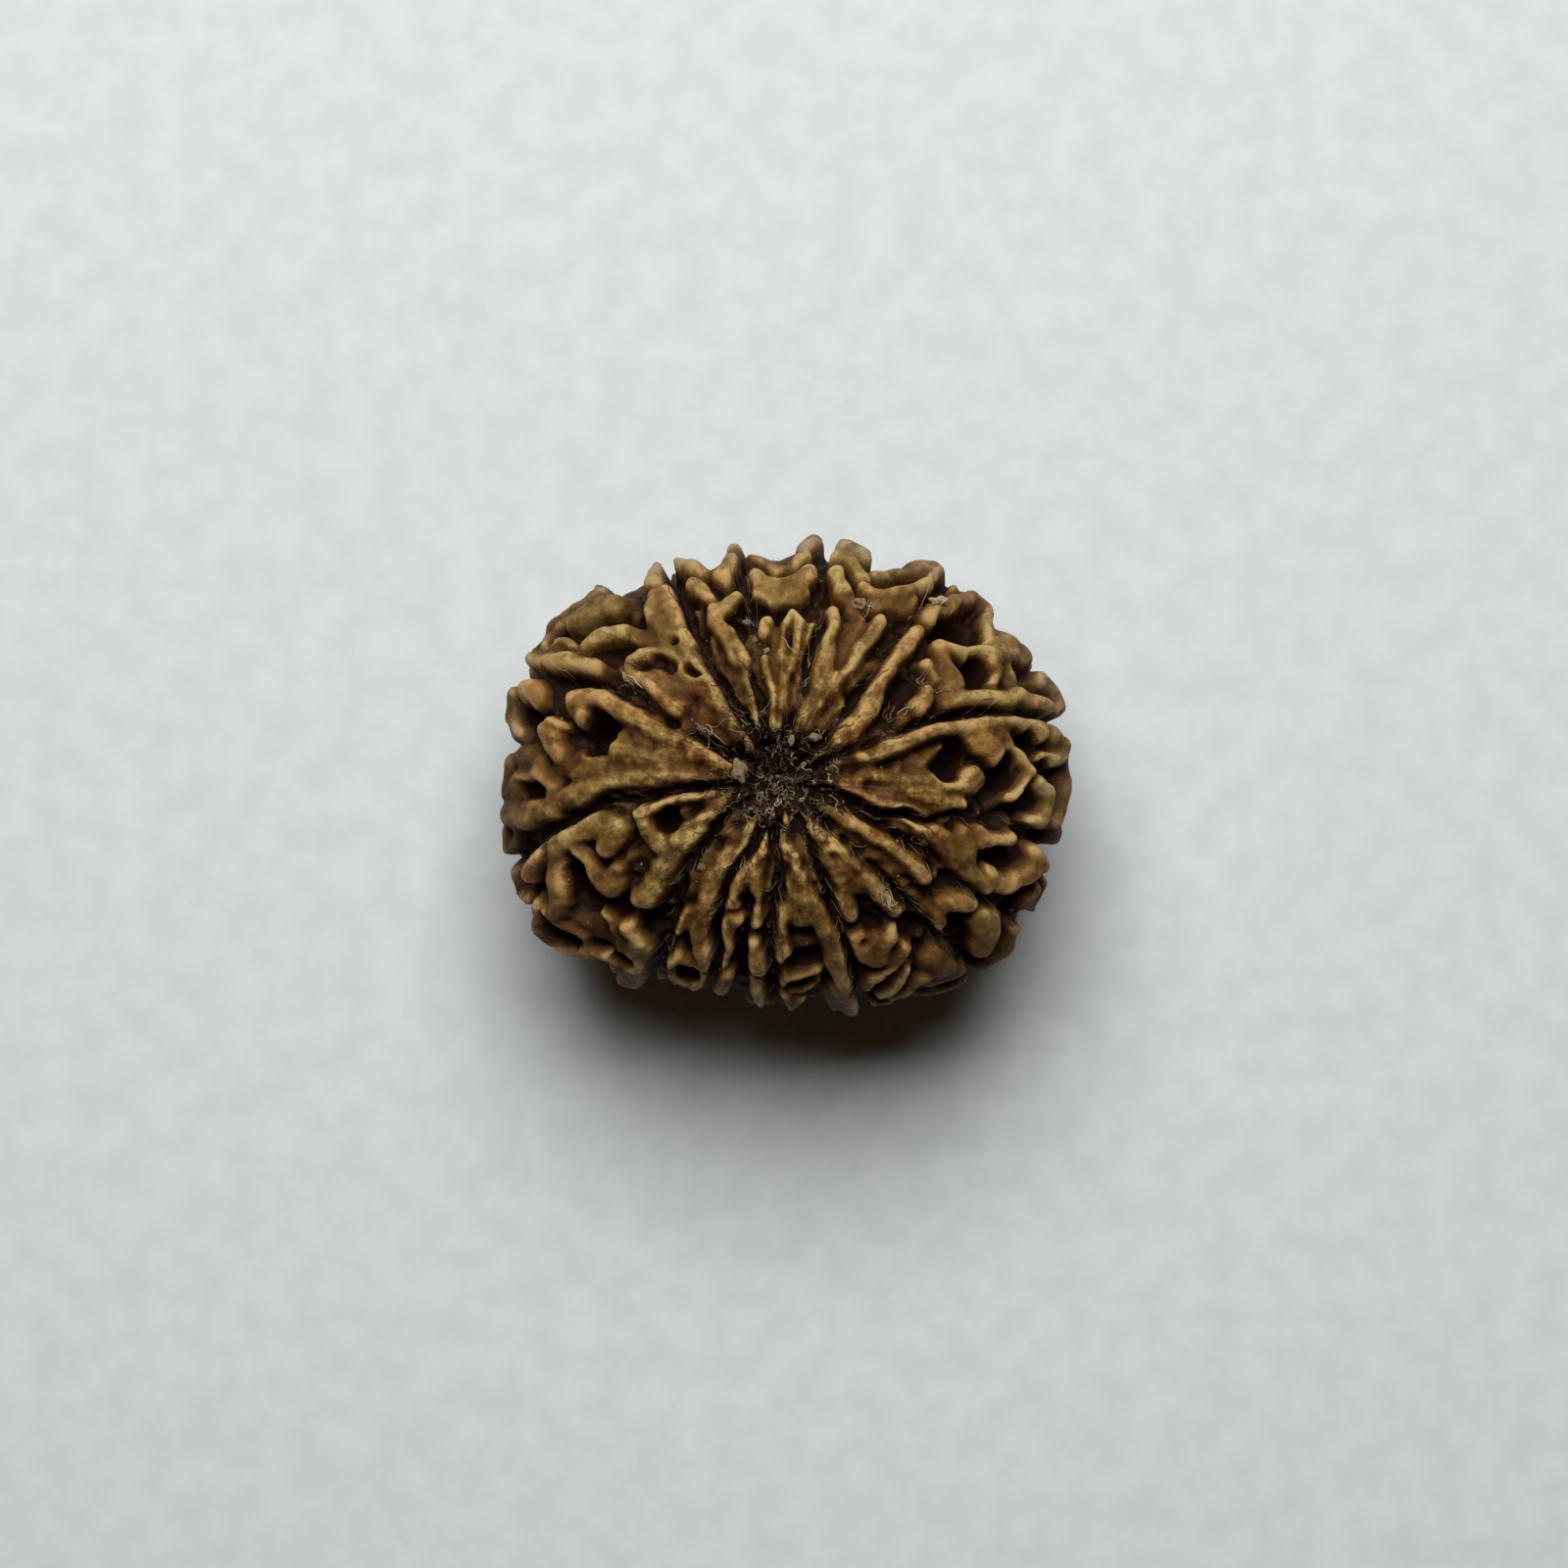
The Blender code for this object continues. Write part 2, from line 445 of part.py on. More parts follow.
def fewer_faces(mesh, count):
    """The mesh with its faces collapsed, flattest first, down to about count triangles."""
    helper = bpy.data.objects.new("fine_stone", mesh)
    bpy.context.scene.collection.objects.link(helper)
    collapse = helper.modifiers.new("collapse", "DECIMATE")
    collapse.ratio = count / sum(len(face.vertices) - 2 for face in mesh.polygons)
    collapse.use_collapse_triangulate = True
    evaluated = helper.evaluated_get(bpy.context.evaluated_depsgraph_get())
    light = bpy.data.meshes.new_from_object(evaluated)
    bpy.data.objects.remove(helper)
    return light


def stone_material():
    """The woody shell: reddish tan, half matt."""
    material = bpy.data.materials.new("seed_shell")
    material.use_nodes = True
    shader = material.node_tree.nodes["Principled BSDF"]
    shader.inputs["Base Color"].default_value = (0.26, 0.14, 0.055, 1.0)
    shader.inputs["Roughness"].default_value = 0.5
    shader.inputs["Metallic"].default_value = 0.0
    return material


def build_seed():
    """The stone as one closed body, standing on z = 0 with its middle over the origin."""
    fine, azimuth, colatitude = fine_ball()
    fine.vertices.foreach_set("co", surface(azimuth, colatitude).ravel())
    mesh = fewer_faces(fine, FACES)
    places = np.empty(len(mesh.vertices) * 3)
    mesh.vertices.foreach_get("co", places)
    places = places.reshape(-1, 3)
    places[:, 2] = np.maximum(places[:, 2], places[:, 2].min() + FLAT_CUT)
    lowest = places.min(axis=0)
    extent = places.max(axis=0) - lowest
    places = (places - lowest) * (np.array([LENGTH, WIDTH, HEIGHT]) / extent)
    places -= (0.5 * LENGTH, 0.5 * WIDTH, 0.0)
    mesh.vertices.foreach_set("co", places.ravel())
    mesh.shade_smooth()
    mesh.materials.clear()
    mesh.materials.append(stone_material())
    seed = bpy.data.objects.new("seed", mesh)
    bpy.context.scene.collection.objects.link(seed)
    return seed


for leftover in list(bpy.data.objects):
    bpy.data.objects.remove(leftover)
build_seed()
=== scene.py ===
import bpy
import numpy as np
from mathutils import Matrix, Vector


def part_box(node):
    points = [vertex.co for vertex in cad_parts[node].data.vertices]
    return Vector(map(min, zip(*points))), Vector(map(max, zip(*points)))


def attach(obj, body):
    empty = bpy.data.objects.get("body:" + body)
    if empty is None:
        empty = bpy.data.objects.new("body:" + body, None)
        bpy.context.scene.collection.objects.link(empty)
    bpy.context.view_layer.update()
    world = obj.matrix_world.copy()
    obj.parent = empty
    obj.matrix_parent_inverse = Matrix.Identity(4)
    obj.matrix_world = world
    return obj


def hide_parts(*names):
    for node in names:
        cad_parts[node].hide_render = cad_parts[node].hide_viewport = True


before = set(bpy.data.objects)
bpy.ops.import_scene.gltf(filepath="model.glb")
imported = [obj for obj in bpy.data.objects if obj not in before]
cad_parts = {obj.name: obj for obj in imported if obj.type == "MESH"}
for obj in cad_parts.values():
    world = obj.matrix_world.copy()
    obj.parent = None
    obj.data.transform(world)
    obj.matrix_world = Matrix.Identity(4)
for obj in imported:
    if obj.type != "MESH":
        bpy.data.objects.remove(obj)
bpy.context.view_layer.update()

# The stone: one woody piece, the bare stone of a fruit, lying with its pole up on a few worn ridge tops.
# It is cut into fourteen lobes by narrow grooves from pole to pole, and every lobe is covered with
# worm-like ridges, arms and knobs over dark hollows.  Those of the upper half are where the real ones are.

MM = 0.001
HUNDREDTH = 0.01 * MM              # the unit of the ridges' and holes' sizes
LENGTH = 30.0 * MM
WIDTH = 25.3 * MM
HEIGHT = 20.0 * MM
SQUARENESS = 2.35
POLE_SHIFT = (-0.26 * MM, -0.20 * MM)

FLOOR_DEPTH = 1.65 * MM
INNER_FLOOR_DEPTH = 0.85 * MM      # near the pole, where the lobes are nearly full
INNER_FLOOR = (28.0, 50.0)         # the colatitudes between which the floor sinks
GROOVE_DEPTH = 2.3 * MM
GROOVE_SHALLOWING = 0.9 * MM       # how much the bottom of a groove comes and goes
SHALLOWING_WAVELENGTH = 5.0 * MM
SHALLOWING_WAVES = (-0.6, 1.2)     # the values of the waves between which it does
GROOVE_HALF_WIDTH = 0.03 * MM
GROOVE_START = 4                   # the colatitude where every groove starts
GROOVE_LOWER = (102, 114, 126, 138, 150, 160, 168)
GROOVE_STRAY = 2.5                 # how far it wanders at these lower colatitudes, in degrees
SHOULDER = 0.62 * MM               # how far beside a groove the edges are rounded off
WALL = 4.5                         # the slope of the sides before they are pulled upright
CUT_WALL = 7.0
BLEND = 0.12 * MM

# How uneven it all is: height, wavelength
FLOOR_UNEVENNESS = (0.16 * MM, 1.1 * MM)
WANDER = (0.08 * MM, 2.4 * MM)     # of the ridges and grooves to each side
SWELLING = (0.07, 1.9 * MM)        # how much a ridge grows thicker and thinner, as a share of its width
LUMPS = [(0.06 * MM, 1.7 * MM), (0.016 * MM, 0.55 * MM)]
STREAKS = (0.08 * MM, 1.2 * MM)    # thin streaks that run from pole to pole over the low places
STREAK_LENGTHENING = 5.0
LOW_GRAIN = (0.07 * MM, 0.75 * MM)
LOW_DEPTHS = (0.35 * MM, 1.1 * MM)  # the depths between which streaks and grain come in
CREASE_DEPTH = 0.10 * MM
CREASE_WAVELENGTH = 2.3 * MM
CREASE_SHARPNESS = 0.10

PIT_DEPTH = 2.2 * MM
PIT_STEEPEST = 2.0                 # the pit falls from PIT_ANGLE to this angle from the pole
PIT_ANGLE = 17.0
PIT_STRAY = (1.5, 1.5 * MM)        # how far its edge comes and goes in degrees, and the wavelength
PIT_SMOOTHING = 0.62               # the share of the relief that is lost in the pit
PIT_ROUGHNESS = (0.10 * MM, 0.8 * MM)
ROUND_PIT = (13.0, 32.0)           # the angles between which a rougher zone round the pit fades away
ROUND_PIT_ROUGHNESS = (0.12 * MM, 0.9 * MM)

WORM_WAVELENGTH = 3.0 * MM
WORM_LENGTHENING = 1.5
WORM_CROWN = 0.85 * MM
WORM_SIDE = (-0.75, 0.0)           # the values of the waves between which a worm's side rises
WORM_TOP = (-0.2, 1.3)             # and its crown
WORMS_SHOWN = (88.0, 100.0)        # the colatitudes between which they rise out of the floor
GIRDLE_DEPTH = 0.7 * MM
GIRDLE_COLATITUDE = 95.0
GIRDLE_SPREAD = 10.0

FLAT_CUT = 0.60 * MM               # how much is worn off the lowest ridge tops
REST_COLATITUDES = (156, 165)
REST_AZIMUTHS = (31, 137, 218, 301)
REST_HALF_WIDTH = 1.2 * MM

SIDES_UPRIGHT = 0.65               # how far the sloping sides are pulled upright
SIDE_SLOPES = (1.2, 3.2)           # the slopes between which a place comes to be a side
ROUND_TOP = 0.55 * MM              # how far down the tops are left as they are

PATCH_CELLS = 128
DRAWN_UP = 17.0                    # how far the cells are drawn towards the upper pole, in degrees
CREST_ROUNDS = 24                  # the rounds of evening out that a broad crest is measured against
EDGE_ROUNDS = 5                    # and a fine edge

# How far the rim of each stretch reaches, as a share of the plain outline: azimuth, share
REACH = [
    (0, 1.0), (20, 0.985), (35, 0.955), (50, 0.98), (56, 1.0), (65, 0.955), (75, 1.0), (84, 1.0),
    (92, 0.965), (101, 0.985), (108, 0.96), (118, 0.98), (127, 0.955), (135, 0.99), (150, 1.0),
    (161, 1.01), (170, 0.975), (180, 0.99), (195, 1.0), (212, 1.03), (222, 1.0), (232, 0.97),
    (245, 0.94), (262, 0.965), (280, 1.0), (295, 0.98), (312, 1.01), (330, 1.0), (345, 0.98), (360, 1.0),
]

# The fourteen grooves between the lobes, from the upper pole to the rim: azimuth, colatitude
GROOVES = [
    [(25, 14), (23, 22), (22.5, 36), (19, 46), (16.5, 57), (13.5, 70), (12, 88)],
    [(45, 16), (50, 28), (53, 38), (53, 50), (51.5, 62), (51, 75), (50.5, 90)],
    [(80, 13), (78.5, 24), (77.5, 36), (78.5, 46), (79.5, 58), (80, 72), (80, 90)],
    [(107, 14), (106, 25), (104, 35), (101, 45), (100, 58), (99.7, 70), (99.5, 90)],
    [(122, 13), (121, 25), (121, 38), (120.5, 47), (118.5, 60), (118, 78), (118, 90)],
    [(153, 14), (151, 24), (151, 32), (150, 42), (153, 52), (156, 62), (157, 75), (156.5, 90)],
    [(186, 12), (186, 26), (188, 34), (189, 44), (192.5, 56), (195, 66), (197, 80), (197, 90)],
    [(212, 11), (218, 20), (224, 30), (230, 38), (234.5, 50), (237, 66), (238.5, 86)],
    [(246, 12), (243, 20), (242.5, 30), (245.5, 41), (248.5, 51), (250, 62), (251, 88)],
    [(264, 12), (265, 20), (266.5, 28), (266, 40), (266, 55), (266.5, 75), (267, 90)],
    [(293, 12), (292.5, 20), (291.5, 28), (290.5, 38), (289.7, 47), (289.5, 58), (289, 75), (288, 90)],
    [(316, 12), (315, 20), (315.5, 30), (314, 42), (313, 53), (314.5, 64), (314, 78), (314, 90)],
    [(338, 12), (336, 20), (334, 30), (329, 41), (328.5, 52), (328.7, 62), (329.5, 75), (330, 90)],
    [(343, 12), (342, 20), (344, 29), (347.5, 38), (350, 47), (349.5, 55), (347.8, 64), (345.5, 74),
     (344, 90)],
]

# The ridges of the upper half, lobe by lobe.  Each has its half width and the drop of its top, both in
# hundredths of a millimetre, and then its route as azimuth, colatitude.
RIDGES = [
    # Right
    (45, 20, (14, 9), (17, 21)),
    (60, 0, (17, 21), (18, 33), (18, 38), (15, 44)),
    (60, 0, (15, 44), (15.5, 50), (15, 56), (12.5, 62), (11, 65)),
    (80, 0, (14, 44), (9.5, 45), (7, 48)),
    (60, 20, (12, 50), (9, 52)),
    (90, 30, (2, 10), (359, 22), (357, 33)),
    (75, 40, (352, 17), (350.5, 26), (352, 34)),
    (75, 10, (357, 30), (358.5, 38), (0, 42)),
    (45, 10, (350, 9), (346, 20), (344, 29)),
    (50, 10, (353, 28), (351, 38)),
    (26, 20, (9, 51), (5.5, 57), (2, 60), (357, 55), (355, 52)),
    (45, 90, (5, 55), (0, 56)),
    (55, 10, (359, 63), (356, 69), (352, 67), (350, 63)),
    (65, 0, (11, 70), (8, 76), (5, 74)),
    (50, 10, (5, 66), (4.5, 74)),
    (75, 30, (6, 81), (0, 83), (354, 82), (351.5, 79)),
    (70, 40, (351, 81), (348, 87)),
    # Right above
    (45, 30, (34, 9), (36, 17)),
    (62, 0, (37, 18), (39, 24), (42, 27)),
    (46, 0, (42, 27), (45.5, 32), (47, 39), (48.5, 48)),
    (62, 0, (29.5, 33.5), (31, 37)),
    (40, 20, (40, 43), (36.5, 43), (33, 42)),
    (62, 10, (26, 41), (30, 45), (36, 47), (40, 49)),
    (55, 0, (25, 42), (22.5, 48), (20.5, 54), (20, 60), (17.5, 67), (15, 76)),
    (55, 0, (40, 49), (35, 55), (31.5, 62), (30, 70)),
    (80, 0, (34, 68), (31.5, 73), (28.5, 79)),
    (38, 20, (28.5, 61), (25, 56)),
    (50, 40, (27, 66), (24, 62)),
    (60, 10, (22, 78), (19, 84), (15, 86)),
    (50, 20, (49, 56), (48, 63), (46.5, 73), (45, 82)),
    (50, 10, (45, 83), (41, 81), (38, 74), (35.5, 68)),
    (32, 30, (50, 86), (49, 78)),
    # Upper right
    (60, 10, (70, 10), (69, 18), (68, 24), (65, 28)),
    (46, 0, (68, 24), (70.5, 33), (72.3, 41), (74.3, 45.5)),
    (36, 0, (64, 26), (62, 29), (59.8, 37), (58.8, 46)),
    (80, 55, (66.5, 31), (66, 43)),
    (35, 40, (63, 36), (64, 47), (69, 49)),
    (52, 0, (75.5, 61), (73, 54)),
    (50, 30, (72, 52), (67, 51), (63, 52)),
    (55, 0, (67, 59), (62, 57), (59.5, 58), (56, 61), (53.5, 69), (53, 79)),
    (60, 30, (63, 54), (58, 55), (54, 57)),
    (78, 0, (76.3, 82), (72.5, 82)),
    (55, 10, (77, 72), (74, 70), (69, 64)),
    (40, 30, (67, 70), (63, 72), (60, 77)),
    (95, 0, (59, 80), (54.5, 80)),
    (30, 50, (73, 28), (74, 36)),
    # Top
    (24, 10, (97, 9), (97, 20), (97.5, 31)),
    (32, 0, (97, 38), (96.5, 43)),
    (28, 20, (91, 9), (89.5, 24), (88, 30)),
    (27, 0, (86, 27), (84.3, 35), (84.3, 41), (86.5, 44), (89, 41)),
    (25, 15, (91, 31), (89.5, 41)),
    (30, 40, (80.5, 16), (80.5, 28), (80.5, 41)),
    (62, 0, (97.5, 60), (96, 57), (90, 56), (85.5, 57), (83.3, 60)),
    (95, 14, (95, 53.5), (87, 53.5)),
    (55, 50, (92, 18), (92, 30), (91, 40)),
    (48, 30, (97.5, 75), (94, 71), (91.5, 67)),
    (60, 0, (84, 88), (85, 82)),
    (50, 15, (87.5, 67), (84.5, 71)),
    # Upper left, narrow
    (30, 40, (114, 9), (112, 20), (109.5, 28)),
    (50, 0, (108.7, 31), (110.8, 38), (112.6, 45), (112, 49)),
    (48, 10, (110, 49), (104.5, 53)),
    (45, 0, (112, 53), (113.5, 57), (115, 61)),
    (60, 0, (102.3, 84), (103.5, 73), (107, 63)),
    (48, 0, (116.3, 78), (114, 74), (111, 66)),
    (25, 80, (117, 20), (117, 40)),
    # Upper left
    (55, 10, (132, 9), (130, 20), (129, 25)),
    (50, 0, (129, 24), (127, 32), (125.7, 40), (125, 48)),
    (68, 0, (125, 48), (123.5, 56), (121.7, 62)),
    (58, 10, (121, 84), (123.5, 71)),
    (45, 100, (132, 74), (131, 62)),
    (60, 0, (133.5, 86), (135, 78), (138, 74), (141, 77), (146, 81)),
    (95, 12, (134, 69), (138, 70), (143, 73)),
    (110, 15, (137, 72), (141, 74), (145, 77)),
    (35, 20, (148, 80), (150, 72), (147, 66)),
    (46, 0, (146, 58), (141.5, 56), (137, 53)),
    (50, 45, (136, 52), (133, 47)),
    (50, 0, (134, 41), (138, 43), (142, 43.5), (144.8, 41), (144.5, 36), (144.4, 31), (144.6, 27)),
    (100, 20, (132, 22), (132, 31), (131, 42)),
    (60, 25, (136, 28), (140, 36)),
    (80, 10, (129, 45), (127.5, 54), (125, 63)),
    (60, 0, (155, 77), (153.5, 70), (152, 61), (149, 51)),
    (45, 30, (152.5, 84), (150.5, 76), (150.5, 68)),
    # Left above
    (50, 10, (163, 8), (160, 20), (159.5, 27), (157.5, 33)),
    (58, 0, (157.5, 33), (157, 39), (155.5, 43), (156.5, 47), (159, 50)),
    (42, 10, (160.5, 47), (165.5, 46)),
    (85, 15, (166, 16), (169, 24), (170, 30), (171, 36)),
    (60, 10, (174, 10), (176, 21), (179, 30), (181, 38), (184.5, 46), (185, 51)),
    (80, 28, (170, 16), (174, 27), (176, 37), (178, 46)),
    (80, 45, (162, 20), (163.5, 29), (165, 35)),
    (90, 55, (174, 44), (177, 54)),
    (55, 40, (177, 38), (178.5, 48)),
    (75, 10, (168.5, 60), (170, 57)),
    (55, 15, (171.5, 57), (174, 53)),
    (35, 20, (166, 58), (166.5, 53)),
    (60, 25, (161, 50), (163.5, 46)),
    (112, 0, (160, 69.5), (161, 68)),
    (72, 15, (163, 84), (167.5, 82), (170, 78)),
    (95, 45, (175, 74), (177, 62)),
    (42, 20, (183, 79), (179, 71), (179, 60), (182, 54), (186, 57), (186, 68)),
    (85, 25, (177, 81), (183, 84)),
    (100, 35, (180, 72), (186, 76)),
    (75, 10, (187, 80), (188.5, 70), (188, 60), (187, 54)),
    (60, 50, (190, 74), (193, 80), (194, 86)),
    # Left below
    (50, 0, (188.5, 16), (190, 26), (194, 30), (201, 30), (208, 28)),
    (56, 0, (206, 8), (208, 19), (213, 26), (218, 33), (220, 37)),
    (80, 0, (219.5, 36), (221.5, 41)),
    (66, 0, (201.5, 40), (197, 36.5), (193.5, 41)),
    (80, 0, (193.5, 42), (194.5, 49), (197.5, 55), (203.5, 58.5), (208.5, 62)),
    (66, 0, (208.5, 62), (211, 64)),
    (42, 10, (199.5, 49), (204.5, 45.5), (209, 45.5)),
    (45, 40, (198, 49), (201.5, 46)),
    (80, 0, (210.5, 44), (212.5, 43.5)),
    (50, 20, (209.5, 43), (208.5, 40)),
    (64, 10, (201, 70), (199.5, 68), (198, 63)),
    (50, 20, (190.5, 87), (194.5, 88)),
    (42, 30, (198.5, 86), (203, 88), (205, 79)),
    (42, 15, (207.5, 72), (210.5, 81), (215, 84), (219, 77), (222.5, 70), (226.5, 67), (229, 74)),
    (85, 70, (212, 64.5), (218, 62), (224, 61)),
    (34, 25, (209.5, 69), (214, 66), (218.5, 65.5), (221, 69)),
    (28, 40, (214, 53), (220, 53), (224, 58), (227, 63)),
    (60, 0, (224.5, 52), (228.5, 56)),
    (76, 0, (229, 57), (231.5, 65), (232.5, 76), (233, 83)),
    # Lower left
    (34, 10, (242, 10), (238, 20)),
    (62, 0, (237, 21), (235.5, 27), (237.5, 34), (241, 43), (245, 53), (247, 58)),
    (30, 20, (235.8, 40), (235.5, 47)),
    (30, 10, (238.7, 61), (241, 68), (246, 74), (248.5, 68), (243.5, 58), (239.5, 57), (238.7, 61)),
    (30, 80, (227, 24), (230, 32)),
    # Bottom, left of the middle
    (36, 0, (254, 9), (252, 18)),
    (62, 10, (251.5, 20), (252, 27)),
    (40, 0, (249, 25), (248, 35)),
    (32, 0, (255, 24), (258, 31), (259.5, 39)),
    (52, 0, (251, 39), (250, 46), (250.7, 55)),
    (36, 0, (260.7, 46), (261.5, 51), (262.7, 56)),
    (48, 20, (254, 60), (253.3, 72)),
    (32, 10, (261.5, 61), (263, 68), (264.5, 77)),
    (20, 70, (262, 18), (263, 37)),
    # Bottom
    (36, 10, (271.5, 8), (273.5, 19)),
    (30, 5, (278, 19), (278.3, 23)),
    (55, 0, (278.3, 24), (278, 29)),
    (90, 0, (278.3, 30), (277.6, 36)),
    (42, 0, (272, 33), (268.9, 37), (268.5, 42), (270, 49)),
    (56, 0, (281, 31), (285, 39), (286, 47), (286.3, 56), (286, 63)),
    (90, 75, (274, 44), (279, 44)),
    (26, 30, (269.5, 63), (271, 58), (275, 55.5), (280, 54)),
    (24, 45, (280, 54), (279, 60), (275, 65), (271, 66)),
    (50, 90, (273, 60), (276, 58)),
    (34, 25, (269.8, 68), (271.5, 75), (274, 69)),
    (65, 10, (284, 64), (285.5, 72), (286, 81)),
    (40, 50, (281, 66), (282, 82)),
    (22, 60, (284, 14), (287, 26)),
    # Bottom, right of the middle
    (55, 0, (302, 9), (305, 19), (308, 28), (310.5, 38.5)),
    (48, 0, (302.5, 19), (300, 27)),
    (36, 0, (300, 27), (296, 37.5)),
    (75, 15, (304, 21), (305, 29)),
    (62, 0, (293.5, 46), (294.5, 51), (297, 54), (300, 50), (305, 46)),
    (80, 12, (296.5, 50.5), (298.5, 48.5)),
    (33, 10, (291.5, 66), (297, 60), (302, 55), (306, 51)),
    (34, 15, (294, 73), (297, 69), (300, 65), (302, 62)),
    (36, 15, (297, 77), (301, 72), (305, 68)),
    (115, 30, (308.5, 62), (309, 70)),
    (100, 35, (305, 74), (310, 76)),
    (45, 30, (290.5, 83), (295, 84)),
    (50, 30, (301, 79), (306, 84), (311, 86)),
    (25, 50, (295.5, 10), (296, 24)),
    # Lower right
    (48, 0, (329.5, 9), (329, 20), (327, 29), (324.7, 37)),
    (62, 60, (322, 16), (320.5, 25), (322.5, 32)),
    (58, 0, (321.8, 46), (323.3, 47.5), (325.8, 51)),
    (80, 70, (315, 38), (317, 45)),
    (40, 20, (318, 47), (315.8, 51)),
    (35, 100, (318, 31), (318, 38)),
    (100, 5, (324.5, 60), (321.5, 66)),
    (95, 15, (321, 66), (319.5, 70)),
    (42, 30, (326.5, 77), (321, 85), (316, 85)),
    # Right below
    (30, 30, (340, 10), (338, 21)),
    (62, 0, (342.5, 31), (338, 36)),
    (80, 8, (337.5, 37), (335, 44)),
    (56, 0, (335, 42), (331.5, 52)),
    (50, 10, (343, 41), (340.5, 43), (337.5, 44)),
    (45, 0, (342, 46), (345, 55.5)),
    (50, 40, (343, 41), (344, 46)),
    (60, 0, (343, 67), (341.5, 73)),
    (52, 0, (340, 69), (337, 62), (333.5, 58), (333.5, 54), (335, 51)),
    (50, 40, (338, 83), (334, 83), (332, 79)),
    (45, 40, (336, 77), (331.5, 75), (331, 84)),
]

# Holes and deep hollows: radius of the bottom and depth in hundredths of a millimetre, then the route
# as azimuth, colatitude
HOLES = [
    (48, 300, (4, 35), (9, 38)), (45, 300, (3, 52), (0, 50)), (40, 280, (8, 61)), (35, 260, (2, 66)),
    (40, 290, (30.5, 55)), (35, 260, (24, 68)), (70, 310, (42.5, 58), (40, 63)), (35, 260, (52.5, 71)),
    (26, 170, (32, 27), (36, 31), (38.5, 36)), (30, 240, (61.5, 64)), (25, 210, (98, 48), (101, 49)),
    (20, 170, (90, 61)), (30, 240, (107, 45)), (10, 100, (128.3, 42)), (30, 80, (134, 36), (137, 39)),
    (10, 110, (128, 31), (128.5, 34)), (30, 260, (147.5, 73)), (55, 310, (164, 42), (168, 44)),
    (10, 80, (164.5, 33.5)), (45, 290, (166, 69)), (22, 170, (182.5, 62)),
    (48, 320, (206, 51.5), (209.5, 53), (212.5, 53.5)), (28, 260, (198, 24), (202, 25)),
    (40, 190, (213.5, 73.5), (217, 71.5)), (30, 260, (229, 66)), (34, 280, (243, 63), (244.5, 67)),
    (16, 240, (253.7, 33)), (12, 140, (273.5, 39.5), (278.5, 39.5)),
    (30, 250, (273.5, 50.5), (278.5, 49.5)), (10, 90, (296, 46.5)), (45, 310, (316.5, 55)),
    (25, 280, (340, 52), (340.3, 57)), (30, 280, (310, 46)), (40, 280, (37, 90)), (40, 280, (64.5, 90)),
    (50, 290, (129.5, 88)), (35, 260, (171.5, 84)),
]


def waves(places, wavelength, seed, count=28):
    """A smooth uneven value of about -2 to 2: the sum of seeded plane waves of nearly one wavelength."""
    draw = np.random.default_rng(seed)
    directions = draw.normal(size=(count, 3))
    directions /= np.linalg.norm(directions, axis=1, keepdims=True)
    lengths = wavelength * draw.uniform(0.8, 1.25, count)
    phases = draw.uniform(0.0, 2.0 * np.pi, count)
    swing = places @ (directions * (2.0 * np.pi / lengths)[:, None]).T + phases
    return np.cos(swing).sum(axis=1) * np.sqrt(2.0 / count)


def uneven(places, unevenness, seed):
    """Waves of the height and the wavelength that an unevenness holds."""
    height, wavelength = unevenness
    return height * waves(places, wavelength, seed)


def smooth_step(value, low, high):
    """0 under low, 1 over high and an S-shaped rise between them."""
    share = np.clip((value - low) / (high - low), 0.0, 1.0)
    return share * share * (3.0 - 2.0 * share)


def softer_max(first, second):
    """The higher of two levels, with the crease where they cross rounded off."""
    mix = np.clip(0.5 + 0.5 * (first - second) / BLEND, 0.0, 1.0)
    return second + (first - second) * mix + BLEND * mix * (1.0 - mix)


def outline(azimuth):
    """How far the plain body reaches from its axis, seen from above: a superellipse with its stretches."""
    turn = np.radians(azimuth)
    plain = (np.abs(np.cos(turn) * 2.0 / LENGTH) ** SQUARENESS
             + np.abs(np.sin(turn) * 2.0 / WIDTH) ** SQUARENESS) ** (-1.0 / SQUARENESS)
    stretches = np.array(REACH)
    return plain * np.interp(np.asarray(azimuth) % 360.0, stretches[:, 0], stretches[:, 1])


def skin(azimuth, colatitude):
    """Points and outward normals of the plain body that the ridge tops touch.

    The outline is narrowed by the sine of the colatitude and raised by half the height times its cosine.
    """
    turn = np.radians(azimuth)
    lean = np.radians(colatitude)
    reach = outline(azimuth)
    spread = np.sin(lean)
    x = reach * np.cos(turn) * spread + POLE_SHIFT[0] * (1.0 - spread)
    y = reach * np.sin(turn) * spread + POLE_SHIFT[1] * (1.0 - spread)
    z = 0.5 * HEIGHT * np.cos(lean)
    points = np.stack([x, y, z], axis=-1)
    normals = points / np.array([LENGTH, WIDTH, HEIGHT]) ** 2
    normals /= np.linalg.norm(normals, axis=-1, keepdims=True)
    return points, normals


def distance_to_route(points, route):
    """The distance from each point to a route of straight runs between places on the skin."""
    corners = skin(*np.array(route, dtype=float).T)[0]
    nearest = np.linalg.norm(points - corners[0], axis=1)
    for start, end in zip(corners[:-1], corners[1:]):
        run = end - start
        share = np.clip((points - start) @ run / (run @ run), 0.0, 1.0)
        gap = points - start - share[:, None] * run
        nearest = np.minimum(nearest, np.sqrt((gap * gap).sum(axis=1)))
    return nearest


